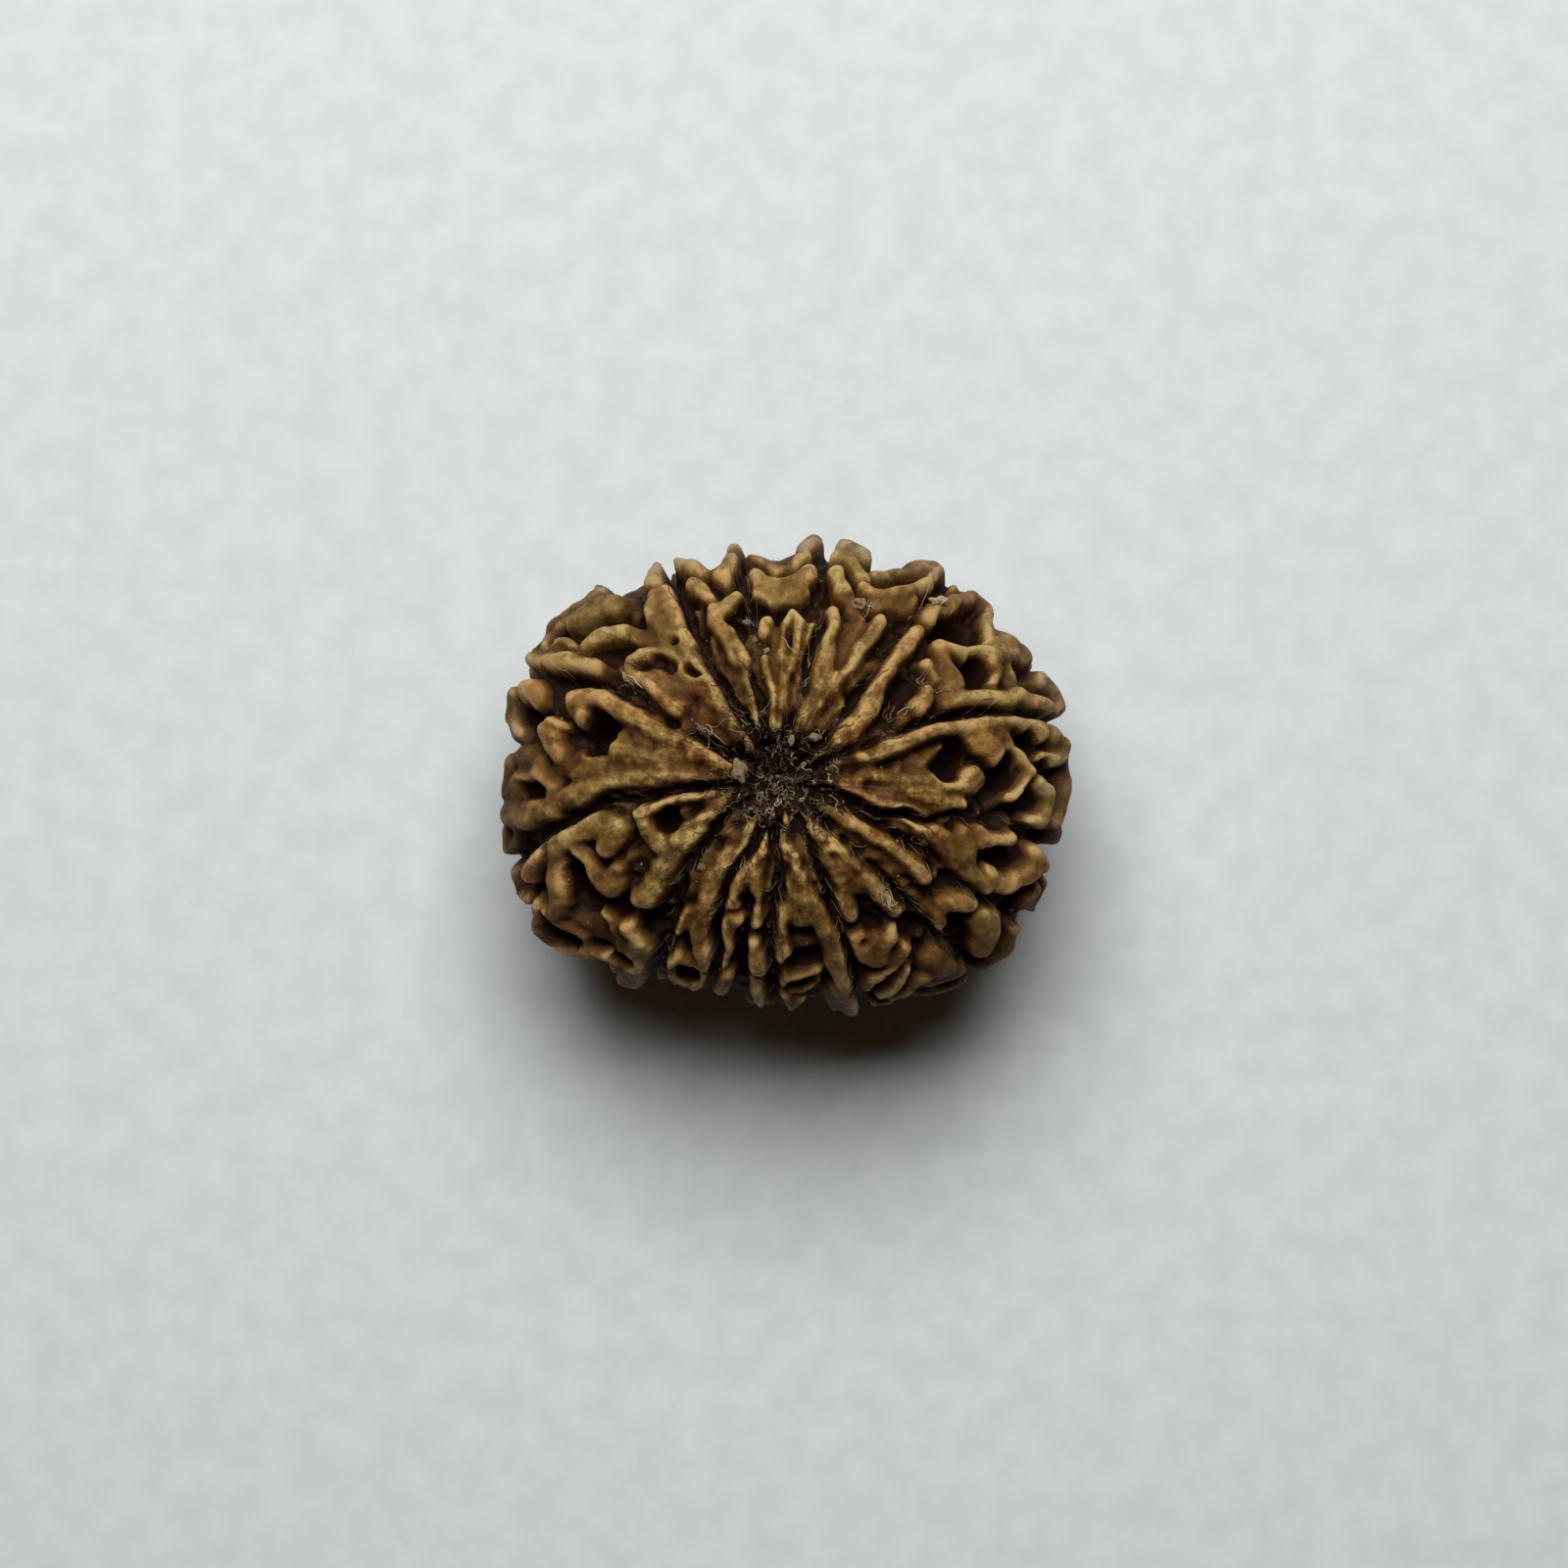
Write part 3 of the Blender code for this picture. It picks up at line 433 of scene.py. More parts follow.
def ridge_level(points, half_width, drop, route):
    """A round-topped ridge with steep straight sides: a half circle across, then a fall of WALL."""
    distance = distance_to_route(points, route)
    inside = np.minimum(distance / half_width, 1.0)
    rounding = half_width * (1.0 - np.sqrt(1.0 - inside * inside))
    return -drop - rounding - WALL * np.maximum(distance - half_width, 0.0)


def cut_level(points, half_width, depth, route):
    """A cut with a narrow flat bottom and steeper sides."""
    distance = distance_to_route(points, route)
    return -depth + CUT_WALL * np.maximum(distance - half_width, 0.0)


def shoulder_level(distance):
    """The edge beside a groove: a quarter circle that falls towards the groove, and no limit beyond it."""
    inside = np.clip(1.0 - distance / SHOULDER, 0.0, 1.0)
    return np.where(inside > 0.0, -SHOULDER * (1.0 - np.sqrt(1.0 - inside * inside)), SHOULDER)


def whole_groove(route, seed):
    """A groove's route from one pole to the other, wandering a little on the lower half."""
    draw = np.random.default_rng(seed)
    start = (route[0][0], GROOVE_START)
    strayed = route[-1][0] + draw.uniform(-GROOVE_STRAY, GROOVE_STRAY, len(GROOVE_LOWER))
    return [start, *route, *zip(strayed, GROOVE_LOWER)]


def unrolled(azimuth, colatitude, lengthening):
    """Places on a drum that the surface is unrolled on, so that patterns grow narrower towards the poles.

    The colatitude is pressed together, so that a pattern of waves is drawn out along it.
    """
    turn = np.radians(azimuth)
    down = np.radians(colatitude) / lengthening
    return 0.5 * LENGTH * np.stack([np.cos(turn), np.sin(turn), down], axis=1)


def worm_level(azimuth, colatitude):
    """The worm-like ridges of the lower half: one stands wherever a field of waves is above a threshold."""
    field = waves(unrolled(azimuth, colatitude, WORM_LENGTHENING), WORM_WAVELENGTH, seed=11)
    standing = smooth_step(field, *WORM_SIDE)
    crown = smooth_step(field, *WORM_TOP)
    shown = smooth_step(colatitude, *WORMS_SHOWN)
    girdle = GIRDLE_DEPTH * np.exp(-((colatitude - GIRDLE_COLATITUDE) / GIRDLE_SPREAD) ** 2)
    return (-FLOOR_DEPTH * (1.0 - standing) - WORM_CROWN * (1.0 - crown) - girdle
            - 2.0 * FLOOR_DEPTH * (1.0 - shown))


def relief(azimuth, colatitude, points):
    """The level of the surface at each place: the highest of floor and ridges, cut by grooves and holes."""
    shallowing = smooth_step(waves(points, SHALLOWING_WAVELENGTH, seed=5), *SHALLOWING_WAVES)
    bottom = GROOVE_SHALLOWING * shallowing - GROOVE_DEPTH
    strayed = points + np.stack([uneven(points, WANDER, seed) for seed in (1, 2, 3)], axis=1)
    swelling = 1.0 + uneven(points, SWELLING, seed=9)
    sunk = smooth_step(colatitude, *INNER_FLOOR)
    floor = -INNER_FLOOR_DEPTH - (FLOOR_DEPTH - INNER_FLOOR_DEPTH) * sunk
    floor += uneven(points, FLOOR_UNEVENNESS, seed=4)
    level = softer_max(worm_level(azimuth, colatitude), floor)
    for half_width, drop, *route in RIDGES:
        ridge = ridge_level(strayed, half_width * HUNDREDTH * swelling, drop * HUNDREDTH, route)
        level = softer_max(ridge, level)
    for number, route in enumerate(GROOVES):
        distance = distance_to_route(strayed, whole_groove(route, number))
        groove = bottom + CUT_WALL * np.maximum(distance - GROOVE_HALF_WIDTH, 0.0)
        level = -softer_max(-np.minimum(groove, shoulder_level(distance)), -level)
    for radius, depth, *route in HOLES:
        level = -softer_max(-cut_level(strayed, radius * HUNDREDTH, depth * HUNDREDTH, route), -level)
    for azimuth_of_rest in REST_AZIMUTHS:
        route = [(azimuth_of_rest, lean) for lean in REST_COLATITUDES]
        level = softer_max(ridge_level(points, REST_HALF_WIDTH, 0.0, route), level)
    level += uneven(points, LUMPS[0], seed=21) + uneven(points, LUMPS[1], seed=22)
    level -= CREASE_DEPTH * np.exp(-(waves(points, CREASE_WAVELENGTH, seed=10) / CREASE_SHARPNESS) ** 2)
    streaks = uneven(unrolled(azimuth, colatitude, STREAK_LENGTHENING), STREAKS, seed=8)
    level += (streaks + uneven(points, LOW_GRAIN, seed=13)) * smooth_step(-level, *LOW_DEPTHS)
    pole_angle = np.minimum(colatitude, 180.0 - colatitude) + uneven(points, PIT_STRAY, seed=6)
    round_pit = 1.0 - smooth_step(pole_angle, *ROUND_PIT)
    level += uneven(points, ROUND_PIT_ROUGHNESS, seed=12) * round_pit
    pit = 1.0 - smooth_step(pole_angle, PIT_STEEPEST, PIT_ANGLE)
    rough = uneven(points, PIT_ROUGHNESS, seed=7)
    return level * (1.0 - PIT_SMOOTHING * pit) + (rough - PIT_DEPTH) * pit


def ball_of_patches(cells):
    """Azimuths, colatitudes and faces of a ball made of six square grids pushed out from a cube's sides.

    The two parameters of a grid are the tangents of even angles from -45 to 45 degrees, which keeps the
    cells alike, and the corners that two patches share are made one.  The colatitudes are then drawn
    towards the upper pole by a sine, so that the upper half gets the smaller cells.
    """
    edge = np.tan(np.radians(np.linspace(-45.0, 45.0, cells + 1)))
    across, up = [grid.ravel() for grid in np.meshgrid(edge, edge)]
    ahead = np.ones_like(across)
    patches = [(ahead, across, up), (-ahead, -across, up), (-across, ahead, up),
               (across, -ahead, up), (-up, across, ahead), (up, across, -ahead)]
    corners = np.concatenate([np.stack(patch, axis=1) for patch in patches])
    corners /= np.linalg.norm(corners, axis=1, keepdims=True)
    row, column = [grid.ravel() for grid in np.meshgrid(np.arange(cells), np.arange(cells), indexing="ij")]
    first = row * (cells + 1) + column
    cell = np.stack([first, first + 1, first + cells + 2, first + cells + 1], axis=1)
    faces = np.concatenate([cell + number * (cells + 1) ** 2 for number in range(6)])
    keep, back = np.unique(np.round(corners, 6), axis=0, return_index=True, return_inverse=True)[1:]
    x, y, z = corners[keep].T
    even = np.degrees(np.arctan2(np.hypot(x, y), z))
    return np.degrees(np.arctan2(y, x)), even - DRAWN_UP * np.sin(np.radians(even)), back.ravel()[faces]


def mesh_from_arrays(name, points, faces):
    """A mesh from an array of points and an array of faces with four corners each."""
    mesh = bpy.data.meshes.new(name)
    mesh.vertices.add(len(points))
    mesh.vertices.foreach_set("co", np.ascontiguousarray(points, dtype=np.float32).ravel())
    mesh.loops.add(faces.size)
    mesh.loops.foreach_set("vertex_index", faces.ravel().astype(np.int32))
    mesh.polygons.add(len(faces))
    mesh.polygons.foreach_set("loop_start", np.arange(0, faces.size, faces.shape[1], dtype=np.int32))
    mesh.update(calc_edges=True)
    mesh.validate()
    mesh.shade_smooth()
    return mesh


def add_attribute(mesh, name, values):
    """Stores one number for each corner point, for the material to read."""
    attribute = mesh.attributes.new(name, "FLOAT", "POINT")
    attribute.data.foreach_set("value", np.asarray(values, dtype=np.float32))


def from_faces_to_points(of_face, faces, count):
    """Each point's mean of the values of the faces round it."""
    total = np.bincount(faces.ravel(), weights=np.repeat(of_face, faces.shape[1]), minlength=count)
    return total / np.bincount(faces.ravel(), minlength=count)


def evened_out(values, faces, rounds):
    """Each point's value mixed with its neighbours', again and again."""
    for _ in range(rounds):
        values = from_faces_to_points(values[faces].mean(axis=1), faces, len(values))
    return values


def upright_sides(points, normals, level, faces):
    """The points moved along the surface so that the sloping sides of ridges and holes stand upright.

    The slope of a face comes from its two diagonals: the level's change along each, crossed with the
    other.  Each point on a side moves uphill by the run that its fall took, which leaves flat places
    and crests where they are.
    """
    corners = points[faces]
    heights = level[faces]
    first = corners[:, 2] - corners[:, 0]
    second = corners[:, 3] - corners[:, 1]
    facing = np.cross(first, second)
    area = np.linalg.norm(facing, axis=1, keepdims=True)
    facing = facing / area
    rise_first = (heights[:, 2] - heights[:, 0])[:, None]
    rise_second = (heights[:, 3] - heights[:, 1])[:, None]
    slope = (rise_second * np.cross(facing, first) - rise_first * np.cross(facing, second)) / area
    slope = np.stack([from_faces_to_points(slope[:, axis], faces, len(points))
                      for axis in range(3)], axis=1)
    steepness = np.linalg.norm(slope, axis=1, keepdims=True)
    fall = np.maximum(-level - ROUND_TOP, 0.0)[:, None]
    on_side = SIDES_UPRIGHT * smooth_step(steepness, *SIDE_SLOPES)
    step = on_side * fall / np.maximum(steepness, WALL)
    return points + normals * level[:, None] + slope / np.maximum(steepness, 1e-6) * step


def add_object(name, mesh, material):
    """An object at the origin with one material."""
    mesh.materials.append(material)
    made = bpy.data.objects.new(name, mesh)
    bpy.context.scene.collection.objects.link(made)
    return made


def new_material(name):
    """A material with its node tree, its links' maker and its shader."""
    material = bpy.data.materials.new(name)
    material.use_nodes = True
    nodes = material.node_tree.nodes
    return material, nodes, material.node_tree.links.new, nodes["Principled BSDF"]


def colour_ramp(nodes, stops):
    """A colour ramp from places and colours."""
    ramp = nodes.new("ShaderNodeValToRGB")
    ramp.color_ramp.interpolation = "EASE"
    while len(ramp.color_ramp.elements) < len(stops):
        ramp.color_ramp.elements.new(0.5)
    for element, (place, colour) in zip(ramp.color_ramp.elements, stops):
        element.position = place
        element.color = (*colour, 1.0)
    return ramp


# How worn and how shaded the surface is painted by its level in millimetres: worn golden on the tops,
# painted shade in the low places; and how much more on crests and edges, where places below their evened
# level, at the feet of ridges, get painted shade
WEAR_AND_SHADE_BY_LEVEL = [
    (-2.8, -0.22), (-2.1, -0.04), (-1.6, 0.06), (-1.15, 0.20), (-0.7, 0.37), (-0.35, 0.53), (0.0, 0.70),
]
WEAR_AND_SHADE_BY_CREST = 0.30
WEAR_AND_SHADE_BY_EDGE = 1.35
# The shell's colour by wear and painted shade: the dark end is the painted shade of the hollows, holes and
# pit
SHELL_BY_WEAR_AND_SHADE = [
    (0.00, (0.018, 0.007, 0.002)),
    (0.08, (0.050, 0.022, 0.005)),
    (0.22, (0.078, 0.035, 0.008)),
    (0.42, (0.102, 0.048, 0.010)),
    (0.60, (0.158, 0.084, 0.020)),
    (0.78, (0.285, 0.168, 0.046)),
    (0.95, (0.500, 0.335, 0.124)),
]
# The sizes of the mottling, and how much each size adds to or takes from the wear
MOTTLING = [(2.6 * MM, 0.60), (0.85 * MM, 0.72), (0.30 * MM, 0.55)]
# The width on the drum of the streaks that run from pole to pole, and their strength
STREAK_SIZE = 0.80 * MM
STREAK_STRENGTH = 0.66
# How much of the mottling is left at each colatitude: the rim is worn smooth and even
MOTTLED_BY_COLATITUDE = [(16, 1.60), (26, 1.30), (38, 0.85), (52, 0.52), (90, 0.42)]
# What takes from the wear: painted shade in the pit and in the holes, and painted shade on the side towards
# -Y, which faces away from the window
PIT_SHADE = 0.30
PIT_SHADE_EDGE = (6.0, 11.0)        # the colatitudes between which it ends
# painted shade in the holes
HOLE_SHADE = 0.55
HOLE_SHADE_EDGE = (0.25 * MM, 0.65 * MM)  # how far beyond a hole's bottom it ends
HOLE_SHADE_DEPTHS = (0.4 * MM, 1.0 * MM)  # the depths between which it comes in
# painted shade on the side towards -Y, away from the window
SHADED_SIDE = 0.11
SHADED_SIDE_RUN = (-2.0 * MM, 7.0 * MM)
# A painted sheen: the rim is painted greyer and bluer than the top, for the grey of sky and floor seen on
# its steep sides at a grazing angle
RIM_SHEEN_TINT = (0.66, 0.72, 1.15)
RIM_SHEEN_SHARE = 0.85
RIM_SHEEN_STARTS = (60.0, 84.0)
# Dark stains, and a tint that goes from reddish to greenish: size, detail, colours by the noise
STAINS = (1.3 * MM, 9.0, [(0.49, (1.0, 1.0, 1.0)), (0.62, (0.36, 0.28, 0.20))])
STAIN_STRENGTH = 0.75
TINTS = (5.0 * MM, 3.0, [(0.38, (1.0, 0.88, 0.84)), (0.62, (0.95, 1.0, 0.96))])
# The fine grain of the surface: size, detail
GRAIN = (0.40 * MM, 8.0)
GRAIN_HEIGHT = 0.12 * MM
GRAIN_STRENGTH = 0.85
FINE_NOISE = 0.68                  # the noise roughness of stains and grain
SHELL_ROUGHNESS = 0.60
SHELL_SHINE = 0.12


def attribute_values(nodes, name):
    """The node that reads a value stored with the mesh."""
    stored = nodes.new("ShaderNodeAttribute")
    stored.attribute_name = name
    return stored


def noise_texture(nodes, link, places, size, detail=5.0, roughness=0.6):
    """A noise whose largest blotches have the given size."""
    noise = nodes.new("ShaderNodeTexNoise")
    noise.inputs["Scale"].default_value = 1.0 / size
    noise.inputs["Detail"].default_value = detail
    noise.inputs["Roughness"].default_value = roughness
    link(places, noise.inputs["Vector"])
    return noise.outputs["Fac"]


def noise_colours(nodes, link, places, size, detail, stops, roughness=0.6):
    """A noise turned into colours by a ramp."""
    ramp = colour_ramp(nodes, stops)
    link(noise_texture(nodes, link, places, size, detail, roughness), ramp.inputs["Fac"])
    return ramp.outputs["Color"]


def calculate(nodes, link, operation, *values):
    """A math node: each value is a number or the output of another node."""
    made = nodes.new("ShaderNodeMath")
    made.operation = operation
    for socket, value in zip(made.inputs, values):
        if isinstance(value, (int, float)):
            socket.default_value = value
        else:
            link(value, socket)
    return made.outputs[0]


def mixed(nodes, link, way, first, second, factor):
    """The first colour, mixed in the named way with the second as far as the factor says."""
    mix = nodes.new("ShaderNodeMix")
    mix.data_type = "RGBA"
    mix.blend_type = way
    if isinstance(factor, float):
        mix.inputs["Factor"].default_value = factor
    else:
        link(factor, mix.inputs["Factor"])
    link(first, mix.inputs["A"])
    link(second, mix.inputs["B"])
    return mix.outputs["Result"]


def shell_material():
    """The woody shell: painted dark with shade in the hollows and the pit, brown on the sides, worn golden
    on the tops, mottled, and painted greyer on the rim as a painted sheen.
    """
    material, nodes, link, shader = new_material("stone_shell")
    places = nodes.new("ShaderNodeTexCoord").outputs["Object"]
    on_drum = attribute_values(nodes, "on_drum").outputs["Vector"]
    streaks = noise_texture(nodes, link, on_drum, STREAK_SIZE)
    change = calculate(nodes, link, "MULTIPLY_ADD", streaks, STREAK_STRENGTH, -0.5 * STREAK_STRENGTH)
    for size, share in MOTTLING:
        blotches = noise_texture(nodes, link, places, size)
        blotches = calculate(nodes, link, "MULTIPLY_ADD", blotches, share, -0.5 * share)
        change = calculate(nodes, link, "ADD", change, blotches)
    # wear and painted shade, stored with the mesh
    wear_and_shade = attribute_values(nodes, "wear_and_shade").outputs["Fac"]
    mottled = attribute_values(nodes, "mottled").outputs["Fac"]
    wear_and_shade = calculate(nodes, link, "MULTIPLY_ADD", change, mottled, wear_and_shade)
    ramp = colour_ramp(nodes, SHELL_BY_WEAR_AND_SHADE)
    link(wear_and_shade, ramp.inputs["Fac"])
    stains = noise_colours(nodes, link, places, *STAINS, FINE_NOISE)
    stained = mixed(nodes, link, "MULTIPLY", ramp.outputs["Color"], stains, STAIN_STRENGTH)
    tinted = mixed(nodes, link, "MULTIPLY", stained, noise_colours(nodes, link, places, *TINTS), 1.0)
    # the painted sheen: the rim's colour is pulled towards a darker grey-blue
    sheen_colour = nodes.new("ShaderNodeRGB")
    sheen_colour.outputs["Color"].default_value = (*RIM_SHEEN_TINT, 1.0)
    rim_sheen = attribute_values(nodes, "rim_sheen").outputs["Fac"]
    with_rim_sheen = mixed(nodes, link, "MULTIPLY", tinted, sheen_colour.outputs["Color"], rim_sheen)
    link(with_rim_sheen, shader.inputs["Base Color"])
    bump = nodes.new("ShaderNodeBump")
    bump.inputs["Strength"].default_value = GRAIN_STRENGTH
    bump.inputs["Distance"].default_value = GRAIN_HEIGHT
    link(noise_texture(nodes, link, places, *GRAIN, FINE_NOISE), bump.inputs["Height"])
    link(bump.outputs["Normal"], shader.inputs["Normal"])
    shader.inputs["Roughness"].default_value = SHELL_ROUGHNESS
    shader.inputs["Specular IOR Level"].default_value = SHELL_SHINE
    return material


def in_holes(points):
    """How far each place is inside one of the holes: 1 over their bottoms, 0 beside them."""
    inside = np.zeros(len(points))
    for radius, _, *route in HOLES:
        beyond = distance_to_route(points, route) - radius * HUNDREDTH
        inside = np.maximum(inside, 1.0 - smooth_step(beyond, *HOLE_SHADE_EDGE))
    return inside


def fitting(points):
    """The scale and then the shift that make the points' box the solid's box."""
    low, high = [np.array(corner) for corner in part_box("seed")]
    scale = (high - low) / np.ptp(points, axis=0)
    return scale, low - points.min(axis=0) * scale


azimuth, colatitude, shell_faces = ball_of_patches(PATCH_CELLS)
skin_points, skin_normals = skin(azimuth, colatitude)
level = evened_out(relief(azimuth, colatitude, skin_points), shell_faces, 1)
shell_points = upright_sides(skin_points, skin_normals, level, shell_faces)
shell_points[:, 2] = np.maximum(shell_points[:, 2], shell_points[:, 2].min() + FLAT_CUT)
shell_scale, shell_shift = fitting(shell_points)
shell_mesh = mesh_from_arrays("seed_shell", shell_points * shell_scale + shell_shift, shell_faces)
slightly_evened = evened_out(level, shell_faces, EDGE_ROUNDS)
edge = (level - slightly_evened) / MM
crest = (level - evened_out(slightly_evened, shell_faces, CREST_ROUNDS - EDGE_ROUNDS)) / MM
# wear on the tops and crests, painted shade in the low places and at the feet of ridges
wear_and_shade = np.interp(level / MM, *np.array(WEAR_AND_SHADE_BY_LEVEL).T) + WEAR_AND_SHADE_BY_CREST * crest + WEAR_AND_SHADE_BY_EDGE * edge
# painted shade in the pit
wear_and_shade -= PIT_SHADE * (1.0 - smooth_step(colatitude, *PIT_SHADE_EDGE))
# painted shade in the holes, deeper where they are low
wear_and_shade -= HOLE_SHADE * in_holes(skin_points) * smooth_step(-level, *HOLE_SHADE_DEPTHS)
# painted shade on the side away from the window
wear_and_shade -= SHADED_SIDE * smooth_step(-skin_points[:, 1], *SHADED_SIDE_RUN)
add_attribute(shell_mesh, "wear_and_shade", wear_and_shade)
add_attribute(shell_mesh, "mottled", np.interp(colatitude, *np.array(MOTTLED_BY_COLATITUDE).T))
# where the painted sheen of the rim comes in
add_attribute(shell_mesh, "rim_sheen", RIM_SHEEN_SHARE * smooth_step(colatitude, *RIM_SHEEN_STARTS))
drum_places = unrolled(azimuth, colatitude, STREAK_LENGTHENING).astype(np.float32)
on_drum = shell_mesh.attributes.new("on_drum", "FLOAT_VECTOR", "POINT")
on_drum.data.foreach_set("vector", drum_places.ravel())
stone = add_object("seed_shell", shell_mesh, shell_material())
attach(stone, "root")
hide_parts("seed")

# The lint: dry threads of the fruit's flesh that are still caught on the stone, curled up in the pit,
# lying along the grooves and gathered in a few pale tufts.  They are stuck to the shell.

THREAD_RINGS = 20
THREAD_SWINGS = (0.6, 1.3, 2.4)    # how often a thread swings to and fro over its length
THREAD_EVENING = 5                 # the rounds of evening out of the level under a thread
THREAD_HOVER = 0.4                 # how much its lift comes and goes, as a share of it
THREAD_TIP = 0.35                  # the thickness of its ends, as a share of its middle's
THREADS_BY_PALENESS = [
    (0.0, (0.040, 0.024, 0.010)), (0.5, (0.22, 0.155, 0.075)), (1.0, (0.66, 0.56, 0.39)),
]
THREAD_ROUGHNESS = 0.7
THREAD_SHINE = 0.3
MOSTLY_DARK = 2.0                  # the power that paleness is raised to where few threads are pale
WITHIN_RIM = 0.98                  # threads stay within this share of the outline
# Each kind: how many threads, and the ends between which their length, curl in degrees, lift, thickness
# and paleness are drawn.  Lengths, lifts and thicknesses are in millimetres, but the length of a tuft's
# thread is a share of the tuft's longest.
PIT_THREADS = 240
PIT_THREAD_ENDS = [(0.6, 1.9), (70.0, 170.0), (0.03, 0.70), (0.05, 0.09), (0.0, 0.88)]
PIT_THREADS_REACH = 12.5           # the colatitude of the outermost
GROOVE_THREADS = 460
GROOVE_THREAD_ENDS = [(0.4, 1.4), (15.0, 65.0), (0.0, 0.18), (0.03, 0.06), (0.0, 0.80)]
GROOVE_THREADS_REACH = (10.0, 62.0)  # the colatitudes of the innermost and the outermost
GROOVE_THREADS_CROWDING = 1.6      # the power that gathers them near the pit
GROOVE_THREADS_STRAY = 1.6         # how far beside the groove they start, in degrees at STRAY_COLATITUDE
STRAY_COLATITUDE = 25.0
MOST_STRAY = 1.5                   # as a share of GROOVE_THREADS_STRAY
GROOVE_THREADS_SPREAD = 15.0       # of their headings, in degrees
TUFT_THREAD_ENDS = [(0.45, 1.0), (10.0, 50.0), (0.05, 0.30), (0.04, 0.075), (0.35, 0.85)]
TUFT_WIDTH = 1.2                   # how far its threads start from its middle, in degrees
TUFT_SPREAD = 28.0                 # of their headings
# Pale tufts: azimuth, colatitude, heading seen from above in degrees, threads, longest in millimetres
TUFTS = [
    (49.5, 60.5, 110, 20, 0.8), (147, 42, 330, 9, 1.2), (146, 21, 318, 8, 2.3), (33, 38, 60, 6, 1.2),
    (30, 27, 30, 6, 1.2), (336, 31, 300, 6, 1.0), (312, 31, 312, 7, 1.5), (66, 51, 20, 6, 0.9),
    (240, 22, 262, 5, 1.1), (80, 30, 88, 4, 1.5), (118, 16, 110, 6, 1.8), (100, 46, 80, 5, 0.8),
]


def below(x, y):
    """The azimuth and colatitude of the places of the skin's upper half that are seen at x, y from above.

    They are found in four rounds, because the pole's shift fades towards the rim.
    """
    spread = np.zeros_like(x)
    for _ in range(4):
        from_axis_x = x - POLE_SHIFT[0] * (1.0 - spread)
        from_axis_y = y - POLE_SHIFT[1] * (1.0 - spread)
        azimuth = np.degrees(np.arctan2(from_axis_y, from_axis_x))
        spread = np.minimum(np.hypot(from_axis_x, from_axis_y) / outline(azimuth), WITHIN_RIM)
    return azimuth, np.degrees(np.arcsin(spread))


def thread_paths(azimuth, colatitude, heading, length, curl, lift, seed):
    """Threads that creep over the shell from the given places, one row of points for each.

    Seen from above, a thread's heading swings by three waves along it, and it goes a step that way.  It
    lies on the level of the shell, evened out along the thread, and higher by its own lift.
    """
    draw = np.random.default_rng(seed)
    along = np.linspace(0.0, 1.0, THREAD_RINGS)
    swing = np.zeros((len(azimuth), THREAD_RINGS))
    for turns in THREAD_SWINGS:
        phase = draw.uniform(0.0, 2.0 * np.pi, (len(azimuth), 1))
        size = draw.uniform(0.5, 1.0, (len(azimuth), 1)) / turns ** 0.5
        swing += size * np.sin(2.0 * np.pi * turns * along + phase)
    direction = np.radians(heading)[:, None] + np.radians(curl)[:, None] * swing
    start = skin(azimuth, colatitude)[0]
    step = (length / (THREAD_RINGS - 1))[:, None]
    x = start[:, :1] + np.cumsum(step * np.cos(direction), axis=1)
    y = start[:, 1:2] + np.cumsum(step * np.sin(direction), axis=1)
    azimuths, colatitudes = below(x, y)
    points, normals = skin(azimuths, colatitudes)
    level = relief(azimuths.ravel(), colatitudes.ravel(), points.reshape(-1, 3)).reshape(x.shape)
    for _ in range(THREAD_EVENING):
        beside = np.pad(level, ((0, 0), (1, 1)), mode="edge")
        level = 0.25 * beside[:, :-2] + 0.5 * level + 0.25 * beside[:, 2:]
    hover = np.sin(2.0 * np.pi * along + draw.uniform(0.0, 2.0 * np.pi, (len(azimuth), 1)))
    hover = lift[:, None] * (1.0 - THREAD_HOVER + THREAD_HOVER * hover)
    return points + normals * (level + hover)[:, :, None], normals


def tubes(paths, normals, thickness):
    """Four-sided tubes round many paths at once, thinner towards both ends, which are closed.

    A ring's corners are the path's point plus and minus the radius to the side and upwards.
    """
    count, rings = paths.shape[:2]
    ahead = np.gradient(paths, axis=1)
    ahead /= np.linalg.norm(ahead, axis=2, keepdims=True)
    side = np.cross(normals, ahead)
    side /= np.linalg.norm(side, axis=2, keepdims=True)
    up = np.cross(ahead, side)
    taper = THREAD_TIP + (1.0 - THREAD_TIP) * np.sin(np.pi * np.linspace(0.0, 1.0, rings)) ** 0.5
    radius = 0.5 * thickness[:, None] * taper
    points = paths[:, :, None] + radius[:, :, None, None] * np.stack([side, up, -side, -up], axis=2)
    corner = np.arange(4)
    following = (corner + 1) % 4
    ring = 4 * (rings * np.arange(count)[:, None, None] + np.arange(rings - 1)[:, None])
    sides = np.stack([ring + corner, ring + following, ring + 4 + following, ring + 4 + corner], axis=-1)
    first = 4 * rings * np.arange(count)[:, None]
    ends = np.concatenate([first + corner[::-1], first + 4 * (rings - 1) + corner])
    return points.reshape(-1, 3), np.concatenate([sides.reshape(-1, 4), ends])


def thread_material():
    """Dry threads from grey-brown to straw-white by the attribute paleness."""
    material, nodes, link, shader = new_material("dry_threads")
    ramp = colour_ramp(nodes, THREADS_BY_PALENESS)
    link(attribute_values(nodes, "paleness").outputs["Fac"], ramp.inputs["Fac"])
    link(ramp.outputs["Color"], shader.inputs["Base Color"])
    shader.inputs["Roughness"].default_value = THREAD_ROUGHNESS
    shader.inputs["Specular IOR Level"].default_value = THREAD_SHINE
    return material


